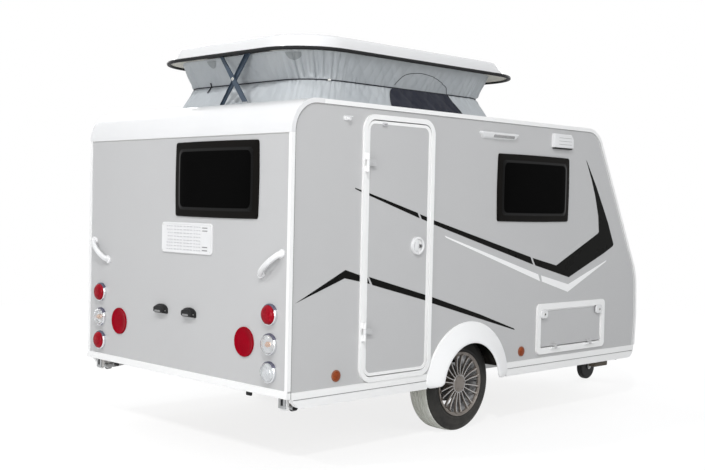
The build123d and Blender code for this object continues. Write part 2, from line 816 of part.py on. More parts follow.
for side, tyre_name in ((-1, "tyre_right"), (1, "tyre_left")):
    with BuildPart() as tyre:
        with BuildSketch(wheel_section(side)) as section:
            rectangle_between(tyre_inner_radius, tyre_radius, tyre_inner_face, tyre_outer_face, tyre_shoulder)
            for low_v, high_v in (
                (tyre_inner_face - 1, tyre_inner_face + flange_thick + 2.3),
                (tyre_outer_face - flange_thick - 2.3, tyre_outer_face + 1),
            ):
                rectangle_high = tyre_inner_radius + bead_notch + seat_gap
                with Locations(((tyre_inner_radius - 1 + rectangle_high) / 2, (low_v + high_v) / 2)):
                    Rectangle(rectangle_high - tyre_inner_radius + 1, high_v - low_v, mode=Mode.SUBTRACT)
        revolve(axis=wheel_axis)
    save(tyre.part, tyre_name)

rim_wall = 7.0
disc_face = tyre_outer_face - 30
disc_thick = 22.0

for side, rim_name in ((-1, "wheel_rim_right"), (1, "wheel_rim_left")):
    with BuildPart() as wheel_rim:
        with BuildSketch(wheel_section(side)):
            barrel = (tyre_inner_radius - rim_wall, tyre_inner_radius)
            corner = 1.0
            rectangle_between(*barrel, tyre_inner_face + 2, tyre_outer_face - 2, corner)
            for low_v in (tyre_inner_face + 2, tyre_outer_face - 2 - flange_thick):
                rectangle_between(barrel[0], tyre_inner_radius + bead_notch, low_v, low_v + flange_thick, corner)
            rectangle_between(
                stub_radius + running, barrel[0] + 2, disc_face - disc_thick, disc_face, corner
            )
            rectangle_between(stub_radius + running, hub_radius, drum_inner, disc_face, corner)
            rectangle_between(stub_radius + running, drum_radius, drum_inner, drum_inner + 50, corner)
        revolve(axis=wheel_axis)
    save(wheel_rim.part, rim_name)

# ---------------------------------------------------------------- hitch
housing_rear = rail_nose - 230
housing_front = rail_nose + 30
housing_half = 76.0
housing_high = ball_height + 52
shaft_z = ball_height + 16
head_rear = body_length + drawbar_reach - 165
socket_x = nose_x - ball_setback
socket_low = ball_height - 20
head_high = ball_height + 48
brake_z = housing_high + 22
brake_x = station(brake_station)

with BuildPart() as coupling_head:
    with BuildSketch(Plane.XY.offset(rail_top)):
        rectangle_between(station(housing_rear), station(housing_front), -housing_half, housing_half, 14)
    extrude(amount=housing_high - rail_top)
    with Locations(Location((station((housing_front + head_rear) / 2), 0, shaft_z), (0, 90, 0))):
        Cylinder(shaft_radius, head_rear - housing_front + 20)
    with BuildSketch(Plane.XY.offset(socket_low)):
        with Locations((socket_x, 0)):
            Circle(ball_setback)
        rectangle_between(station(head_rear), socket_x, -42, 42, 10)
    extrude(amount=head_high - socket_low)
    with Locations((socket_x, 0, (socket_low + ball_height) / 2)):
        Cylinder(ball_radius, ball_height - socket_low, mode=Mode.SUBTRACT)
    with Locations((socket_x, 0, ball_height)):
        Sphere(ball_radius, mode=Mode.SUBTRACT)
    for side in (-1, 1):
        with Locations((brake_x, side * 24, (housing_high + brake_z + 14) / 2)):
            Box(44, 10, brake_z + 14 - housing_high)
    with Locations(Location((brake_x, 0, brake_z), (90, 0, 0))):
        Cylinder(6, 58)
save(coupling_head.part, "coupling_head")

with BuildPart() as handbrake_lever:
    with Locations(Location((brake_x, 0, brake_z), (90, 0, 0))):
        Cylinder(15, 26)
    with Locations(Location((brake_x + brake_length / 2, 0, brake_z), (0, 90, 0))):
        Cylinder(10, brake_length)
    with Locations(Location((brake_x + brake_length - 60, 0, brake_z), (0, 90, 0))):
        Cylinder(15, 120)
    with Locations(Location((brake_x, 0, brake_z), (90, 0, 0))):
        Cylinder(6 + running, 40, mode=Mode.SUBTRACT)
save(handbrake_lever.part, "handbrake_lever")

# ---------------------------------------------------------------- jockey wheel
jockey_x = station(jockey_station)
jockey_axle_x = jockey_x - jockey_trail
crown_low = 2 * jockey_wheel_radius + move_gap
crown_thick = 8.0
stem_low = crown_low + crown_thick + 0.5
stem_high = 560.0
kingpin = 10.0
jockey_axle = 8.0
clamp_height = 64.0
clamp_half = 20.0
member_side = member_y(jockey_station - clamp_half) + half_rail + seat_gap

with BuildPart() as jockey_tube:
    with Locations((jockey_x, jockey_y, (jockey_tube_low + jockey_tube_high) / 2)):
        Cylinder(jockey_tube_radius, jockey_tube_high - jockey_tube_low)
    clamp_z = rail_top - clamp_height / 2 + 10
    clamp_reach = abs(jockey_y) - member_side
    with Locations((jockey_x, jockey_y, clamp_z)):
        Cylinder(jockey_tube_radius + 9, clamp_height)
    with Locations((jockey_x, (jockey_y - member_side) / 2, clamp_z)):
        Box(2 * clamp_half, clamp_reach, clamp_height)
    with Locations((jockey_x, jockey_y, jockey_tube_high + 10)):
        Cylinder(14, 26)
    with Locations((jockey_x, jockey_y - 55, jockey_tube_high + 16)):
        Box(14, 130, 8)
    with Locations((jockey_x, jockey_y - 112, jockey_tube_high + 52)):
        Cylinder(9, 76)
    with Locations((jockey_x, jockey_y, (jockey_tube_low + jockey_tube_high) / 2 - 10)):
        Cylinder(jockey_stem_radius + running, jockey_tube_high - jockey_tube_low - 20, mode=Mode.SUBTRACT)
save(jockey_tube.part, "jockey_tube")

with BuildPart() as jockey_stem:
    with Locations((jockey_x, jockey_y, (stem_low + stem_high) / 2)):
        Cylinder(jockey_stem_radius, stem_high - stem_low)
    with Locations((jockey_x, jockey_y, (crown_low + stem_low) / 2)):
        Cylinder(kingpin, stem_low - crown_low)
save(jockey_stem.part, "jockey_stem")

plate_y = jockey_wheel_width / 2 + move_gap + fork_plate / 2
with BuildPart() as jockey_fork:
    with Locations((jockey_x, jockey_y, crown_low + crown_thick / 2)):
        Box(64, 2 * plate_y + fork_plate, crown_thick)
        Cylinder(kingpin + running, crown_thick, mode=Mode.SUBTRACT)
    for side in (-1, 1):
        with BuildSketch(across(jockey_y + side * plate_y + fork_plate / 2)):
            with Locations((jockey_axle_x, jockey_wheel_radius)):
                Circle(18)
            with Locations((jockey_x, crown_low + crown_thick / 2)):
                Rectangle(64, crown_thick)
            make_hull()
        extrude(amount=fork_plate)
    with Locations(Location((jockey_axle_x, jockey_y, jockey_wheel_radius), (90, 0, 0))):
        Cylinder(jockey_axle, 2 * plate_y + fork_plate + 16)
save(jockey_fork.part, "jockey_fork")

with BuildPart() as jockey_wheel:
    with Locations(Location((jockey_axle_x, jockey_y, jockey_wheel_radius), (90, 0, 0))):
        Cylinder(jockey_wheel_radius, jockey_wheel_width)
        Cylinder(jockey_axle + running, jockey_wheel_width, mode=Mode.SUBTRACT)
    rims = jockey_wheel.edges().filter_by(GeomType.CIRCLE).sort_by(SortBy.RADIUS)[-2:]
    fillet(rims, 14)
save(jockey_wheel.part, "jockey_wheel")

# ---------------------------------------------------------------- corner steadies
steady_pin = 8.0
leg_deep = 24.0
ear_thick = 5.0
mount_plate = 8.0
guide_thick = 6.0
guide_low = steady_pivot_z - 39.0
guide_reach = steady_rear_foot - wall - 1.0         # guide plate beyond the stowed foot
ends = {
    "rear": (steady_rear_foot, steady_rear_foot + steady_reach, 1),
    "front": (steady_front_foot, steady_front_foot - steady_reach, -1),
}

with BuildPart() as steady_brackets:
    for foot, pivot, forward in ends.values():
        for side in (-1, 1):
            guide = foot - forward * guide_reach
            with Locations((station((guide + pivot + forward * 40) / 2), side * steady_y,
                            floor_under - mount_plate / 2)):
                Box(abs(pivot + forward * 40 - guide), steady_width + 22, mount_plate)
            for ear in (-1, 1):
                ear_y = side * steady_y + ear * (steady_width / 2 + 3 + ear_thick / 2)
                with Locations((station(pivot), ear_y, (floor_under - mount_plate + steady_pivot_z - 16) / 2)):
                    Box(46, ear_thick, floor_under - mount_plate - steady_pivot_z + 16)
            with Locations(Location((station(pivot), side * steady_y, steady_pivot_z), (90, 0, 0))):
                Cylinder(steady_pin, steady_width + 6 + 2 * ear_thick)
            with Locations((station(guide + forward * guide_thick / 2), side * steady_y,
                            (floor_under - mount_plate + guide_low) / 2)):
                Box(guide_thick, steady_width + 12, floor_under - mount_plate - guide_low)
            with Locations((station(guide + forward * guide_thick / 2), side * steady_y, guide_low + 34)):
                Box(2 * guide_thick, 20, 38, mode=Mode.SUBTRACT)
save(steady_brackets.part, "steady_brackets")

for end, (foot, pivot, forward) in ends.items():
    for side, side_name in ((-1, "right"), (1, "left")):
        foot_z = steady_pivot_z - steady_foot_drop
        with BuildPart() as steady:
            with BuildSketch(across(side * steady_y + steady_width / 2)):
                with Locations((station(pivot), steady_pivot_z), (station(foot + forward * 30), foot_z + 4)):
                    Circle(leg_deep / 2)
                make_hull()
            extrude(amount=steady_width)
            with Locations(Location((station(foot), side * steady_y, foot_z), (90, 0, 0))):
                Cylinder(foot_radius, steady_width)
            with Locations((station(foot + forward * 15), side * steady_y, foot_z + 2)):
                Box(30, steady_width - 8, 14)
            with Locations(Location((station(pivot), side * steady_y, steady_pivot_z), (90, 0, 0))):
                Cylinder(steady_pin + running, steady_width, mode=Mode.SUBTRACT)
        save(steady.part, f"steady_{end}_{side_name}")

# ---------------------------------------------------------------- lifting roof
lid_limits = (station(lid_rear), station(lid_front), -lid_half, lid_half)
edge_high = lid_rim_height + lid_edge
bar_length = lid_travel / (sin(radians(scissor_angle)) - sin(radians(scissor_low_angle)))
bar_span = bar_length * cos(radians(scissor_angle))
bar_rise = bar_length * sin(radians(scissor_angle))
pivot_y = scissor_y - bar_span / 2
pivot_z = roof_height + 22
slot_half = bar_length - bar_span / 2 + 40


def lid_rectangle(inset):
    """Rounded plan of the lid, moved in from its rim."""
    rear, front, right, left = lid_limits
    rectangle_between(rear + inset, front - inset, right + inset, left - inset, max(lid_corner - inset, 60))


def tray(inset, low, edge, top):
    """Solid body of the lid's shape: upright edge, then a crown that leans in."""
    with BuildSketch(Plane.XY.offset(low)) as rim_plan:
        lid_rectangle(inset)
    with BuildSketch(Plane.XY.offset(edge)) as edge_plan:
        lid_rectangle(inset)
    with BuildSketch(Plane.XY.offset(top)) as crown_plan:
        lid_rectangle(inset + lid_top_inset)
    extrude(rim_plan.sketch, amount=edge - low)
    loft([edge_plan.sketch, crown_plan.sketch])


with BuildPart() as lid_inside:
    tray(lid_wall, lid_rim_height - 1, edge_high, lid_top - lid_wall)

scissor_faces = (station(lid_rear + scissor_inset), station(lid_front - scissor_inset))
bars_deep = 2 * bar_thick + bar_gap

with BuildPart() as lid_shell:
    tray(0, lid_rim_height, edge_high, lid_top)
    add(lid_inside.part, mode=Mode.SUBTRACT)
    with BuildSketch(Plane.XY.offset(lid_rim_height)):
        lid_rectangle(lid_wall - 1)
        rear, front, half, corner = canvas_head
        with BuildSketch(mode=Mode.PRIVATE) as mouth:
            rectangle_between(station(rear) + 24, station(front) - 24, 24 - half, half - 24, corner - 24)
        add(mouth.sketch, mode=Mode.SUBTRACT)
        with BuildSketch(mode=Mode.PRIVATE) as slots:
            for face, inward in zip(scissor_faces, (1, -1)):
                with Locations((face + inward * bars_deep / 2, scissor_y)):
                    Rectangle(bars_deep + 2 * 14, 2 * slot_half)
        add(slots.sketch, mode=Mode.SUBTRACT)
    extrude(amount=6)
save(lid_shell.part, "lid_shell")

with BuildPart() as lid_seal:
    with BuildSketch(Plane.XY.offset(lid_rim_height - seal_thick)):
        lid_rectangle(0)
        with BuildSketch(mode=Mode.PRIVATE) as middle:
            lid_rectangle(lid_wall)
        add(middle.sketch, mode=Mode.SUBTRACT)
    extrude(amount=seal_thick)
save(lid_seal.part, "lid_seal")


def canvas_plan(level, limits, shrink):
    """Rounded plan of the canvas at one height."""
    rear, front, half, corner = limits
    with BuildSketch(Plane.XY.offset(level)) as plan:
        rectangle_between(
            station(rear) + shrink, station(front) - shrink, shrink - half, half - shrink, corner - shrink
        )
    return plan.sketch


def canvas_body(shrink):
    """Solid of the canvas: foot on the roof, drawn-in waist, head under the lid."""
    foot = canvas_plan(roof_height + seat_gap, canvas_foot, shrink)
    waist = canvas_plan(canvas_waist_height, canvas_waist, shrink)
    head = canvas_plan(lid_rim_height - seat_gap, canvas_head, shrink)
    loft([foot, waist])
    loft([waist, head])


with BuildPart() as canvas_inside:
    canvas_body(canvas_thick)

with BuildPart() as canvas:
    canvas_body(0)
    add(canvas_inside.part, mode=Mode.SUBTRACT)
save(canvas.part, "canvas")

with BuildPart() as scissor_brackets:
    for face, inward in zip(scissor_faces, (1, -1)):
        with Locations((face + inward * 2, pivot_y, roof_height + 3)):
            Box(34, 44, 6)
        with Locations((face - inward * (3 + 2.5), pivot_y, roof_height + 17)):
            Box(5, 40, 34)
        with Locations(Location((face - inward * 8 + inward * (8 + bar_thick) / 2, pivot_y, pivot_z), (0, 90, 0))):
            Cylinder(bar_pin, 8 + bar_thick)
        with Locations((face + inward * (bars_deep - bar_thick / 2), pivot_y + (bar_span + bar_length) / 2,
                        roof_height + 2)):
            Box(20, bar_length - bar_span + 60, 4)
save(scissor_brackets.part, "scissor_brackets")

middle_y = pivot_y + bar_span / 2
middle_z = pivot_z + bar_rise / 2

with BuildPart() as scissor_arms_hinged:
    for face, inward in zip(scissor_faces, (1, -1)):
        with BuildSketch(facing(face)):
            with Locations((middle_y, middle_z)):
                SlotCenterToCenter(bar_length, bar_width, rotation=scissor_angle)
            with Locations((pivot_y, pivot_z)):
                Circle(bar_pin + running, mode=Mode.SUBTRACT)
        extrude(amount=inward * bar_thick)
        with Locations(Location((face + inward * bars_deep / 2, middle_y, middle_z), (0, 90, 0))):
            Cylinder(bar_pin, bars_deep)
save(scissor_arms_hinged.part, "scissor_arms_hinged")

with BuildPart() as scissor_arms_crossing:
    for face, inward in zip(scissor_faces, (1, -1)):
        with BuildSketch(facing(face + inward * (bar_thick + bar_gap))):
            with Locations((middle_y, middle_z)):
                SlotCenterToCenter(bar_length, bar_width, rotation=-scissor_angle)
                Circle(bar_pin + running, mode=Mode.SUBTRACT)
        extrude(amount=inward * bar_thick)
save(scissor_arms_crossing.part, "scissor_arms_crossing")

print("origin to rear wall", round(rear_x, 3), "hinge", hinge_x, hinge_y, "flap", flap_axis_y, flap_axis_z)
print("axle", axle_x, axle_z, "scissor", pivot_y, pivot_z, middle_y, middle_z, bar_length)
print("brake", brake_x, brake_z, "jockey", jockey_x, jockey_y, jockey_axle_x, "socket", socket_x, ball_height)
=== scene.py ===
import math

import bmesh
import bpy
import numpy as np
from mathutils import Matrix, Vector


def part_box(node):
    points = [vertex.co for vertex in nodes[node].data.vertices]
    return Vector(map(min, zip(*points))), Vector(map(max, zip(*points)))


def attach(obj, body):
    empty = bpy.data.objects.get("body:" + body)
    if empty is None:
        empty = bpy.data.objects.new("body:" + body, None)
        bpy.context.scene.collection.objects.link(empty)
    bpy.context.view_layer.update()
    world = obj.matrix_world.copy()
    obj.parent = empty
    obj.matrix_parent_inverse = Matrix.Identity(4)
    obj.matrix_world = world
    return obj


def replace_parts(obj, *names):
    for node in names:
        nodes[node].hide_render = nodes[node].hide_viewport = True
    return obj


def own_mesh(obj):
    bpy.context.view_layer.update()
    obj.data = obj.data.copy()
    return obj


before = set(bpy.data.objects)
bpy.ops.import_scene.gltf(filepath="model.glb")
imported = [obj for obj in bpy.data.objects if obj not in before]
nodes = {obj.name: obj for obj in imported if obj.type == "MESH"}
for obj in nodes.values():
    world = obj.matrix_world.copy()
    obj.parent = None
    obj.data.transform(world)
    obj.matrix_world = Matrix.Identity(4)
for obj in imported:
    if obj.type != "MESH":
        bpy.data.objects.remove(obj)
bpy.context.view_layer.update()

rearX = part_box("rear_wall")[0][0]          # outer face of the rear wall
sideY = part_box("side_wall_left")[1][1]     # outer face of the side walls, from the middle
fullTurn = 2 * math.pi


def addNode(tree, kind, values=None, **settings):
    # one node; a value that is a socket is linked, any other is set
    node = tree.nodes.new(kind)
    for key, value in settings.items():
        setattr(node, key, value)
    for label, value in (values or {}).items():
        feed(tree, node.inputs[label], value)
    return node


def feed(tree, socket, value):
    # links an output, or sets a plain number or colour
    if isinstance(value, bpy.types.NodeSocket):
        tree.links.new(value, socket)
    else:
        socket.default_value = value


def mixColour(tree, factor, first, second):
    # sockets 6 and 7 are the two colours
    node = addNode(tree, "ShaderNodeMix", {0: factor, 6: first, 7: second}, data_type="RGBA")
    return node.outputs[2]


def maths(tree, operation, *values):
    node = addNode(tree, "ShaderNodeMath", dict(enumerate(values)), operation=operation)
    return node.outputs[0]


def rescale(tree, value, low, high, toLow=0.0, toHigh=1.0):
    # straight ramp from low..high to toLow..toHigh, held at its ends
    values = {"Value": value, "From Min": low, "From Max": high, "To Min": toLow, "To Max": toHigh}
    return addNode(tree, "ShaderNodeMapRange", values).outputs["Result"]


def startGroup(name, inputs, outputs):
    # inputs by name with their defaults; outputs by name with their kind
    tree = bpy.data.node_groups.new(name, "ShaderNodeTree")
    for label, value in inputs.items():
        kind = "NodeSocketColor" if hasattr(value, "__len__") else "NodeSocketFloat"
        tree.interface.new_socket(name=label, in_out="INPUT", socket_type=kind).default_value = value
    for label, kind in outputs.items():
        tree.interface.new_socket(name=label, in_out="OUTPUT", socket_type=kind)
    return tree, tree.nodes.new("NodeGroupInput").outputs, tree.nodes.new("NodeGroupOutput").inputs


colourOut, valueOut = "NodeSocketColor", "NodeSocketFloat"
grey = (0.5, 0.5, 0.5, 1)


# shader groups that several finishes share
def makeToneGroup():
    # slow patches between two tones, dust that thins out with height, fine grain
    tree, given, result = startGroup(
        "surfaceTone",
        {"Colour": grey, "Second Colour": grey, "Patch Scale": 3.0, "Patch Amount": 1.0, "Dust Colour": grey,
         "Dust Top": 0.5, "Dust Amount": 0.0, "Roughness": 0.4, "Roughness Spread": 0.1, "Grain Scale": 400.0},
        {"Colour": colourOut, "Roughness": valueOut, "Height": valueOut})
    place = addNode(tree, "ShaderNodeTexCoord").outputs["Object"]
    patches = addNode(tree, "ShaderNodeTexNoise", {"Vector": place, "Scale": given["Patch Scale"], "Detail": 4.0})
    patchMask = rescale(tree, patches.outputs["Fac"], 0.35, 0.65)
    toned = mixColour(tree, maths(tree, "MULTIPLY", patchMask, given["Patch Amount"]),
                      given["Colour"], given["Second Colour"])
    height = addNode(tree, "ShaderNodeSeparateXYZ", {"Vector": place}).outputs["Z"]
    low = addNode(tree, "ShaderNodeMapRange", {"Value": height, "From Min": given["Dust Top"], "From Max": 0.0})
    streaks = addNode(tree, "ShaderNodeTexNoise", {"Vector": place, "Scale": 22.0, "Detail": 6.0})
    speckle = rescale(tree, streaks.outputs["Fac"], 0.3, 0.75)
    dust = maths(tree, "MULTIPLY", maths(tree, "MULTIPLY", low.outputs["Result"], speckle), given["Dust Amount"])
    feed(tree, result["Colour"], mixColour(tree, dust, toned, given["Dust Colour"]))
    swing = maths(tree, "MULTIPLY", maths(tree, "SUBTRACT", patches.outputs["Fac"], 0.5), given["Roughness Spread"])
    rough = maths(tree, "ADD", maths(tree, "ADD", given["Roughness"], swing), maths(tree, "MULTIPLY", dust, 0.3))
    feed(tree, result["Roughness"], rough)
    grain = addNode(tree, "ShaderNodeTexNoise", {"Vector": place, "Scale": given["Grain Scale"], "Detail": 3.0})
    feed(tree, result["Height"], grain.outputs["Fac"])
    return tree


def makeWeaveGroup():
    # two sets of threads crossing, along the piece's own UV map in metres
    tree, given, result = startGroup(
        "threadWeave",
        {"Colour": grey, "Second Colour": grey, "Threads": 900.0, "Depth": 0.35},
        {"Colour": colourOut, "Height": valueOut})
    place = addNode(tree, "ShaderNodeTexCoord").outputs["UV"]
    split = addNode(tree, "ShaderNodeSeparateXYZ", {"Vector": place})
    warp, weft = (maths(tree, "SINE", maths(tree, "MULTIPLY", split.outputs[axis], given["Threads"]))
                  for axis in ("X", "Y"))
    cloth = maths(tree, "MULTIPLY", maths(tree, "ABSOLUTE", warp), maths(tree, "ABSOLUTE", weft))
    feed(tree, result["Height"], cloth)
    uneven = addNode(tree, "ShaderNodeTexNoise", {"Vector": place, "Scale": 9.0, "Detail": 5.0}).outputs["Fac"]
    factor = maths(tree, "MULTIPLY", maths(tree, "ADD", maths(tree, "MULTIPLY", cloth, 0.5),
                                           rescale(tree, uneven, 0.3, 0.7, 0.0, 0.5)), given["Depth"])
    feed(tree, result["Colour"], mixColour(tree, factor, given["Colour"], given["Second Colour"]))
    return tree


def makeCellGroup():
    # crystals of zinc, or even prisms when Randomness is 0
    tree, given, result = startGroup(
        "cellPattern",
        {"Colour": grey, "Second Colour": grey, "Cells": 90.0, "Randomness": 1.0, "Depth": 0.5},
        {"Colour": colourOut, "Height": valueOut})
    place = addNode(tree, "ShaderNodeTexCoord").outputs["Object"]
    cells = addNode(tree, "ShaderNodeTexVoronoi",
                    {"Vector": place, "Scale": given["Cells"], "Randomness": given["Randomness"]})
    shade = addNode(tree, "ShaderNodeSeparateColor", {"Color": cells.outputs["Color"]}).outputs[0]
    factor = maths(tree, "MULTIPLY", shade, given["Depth"])
    feed(tree, result["Colour"], mixColour(tree, factor, given["Colour"], given["Second Colour"]))
    feed(tree, result["Height"], cells.outputs["Distance"])
    return tree


def makeGrainGroup():
    # long wavering lines along X, as in printed board
    tree, given, result = startGroup(
        "boardGrain",
        {"Colour": grey, "Second Colour": grey, "Lines": 26.0, "Depth": 0.8},
        {"Colour": colourOut, "Height": valueOut})
    place = addNode(tree, "ShaderNodeTexCoord").outputs["Object"]
    drawn = addNode(tree, "ShaderNodeMapping", {"Vector": place, "Scale": (0.09, 1.0, 1.0)}).outputs["Vector"]
    lines = addNode(tree, "ShaderNodeTexNoise",
                    {"Vector": drawn, "Scale": given["Lines"], "Detail": 8.0, "Distortion": 0.6}).outputs["Fac"]
    factor = maths(tree, "MULTIPLY", rescale(tree, lines, 0.35, 0.68), given["Depth"])
    feed(tree, result["Colour"], mixColour(tree, factor, given["Colour"], given["Second Colour"]))
    feed(tree, result["Height"], lines)
    return tree


groups = {"tone": makeToneGroup(), "weave": makeWeaveGroup(), "cells": makeCellGroup(), "board": makeGrainGroup()}

dustBrown = (0.36, 0.33, 0.28)
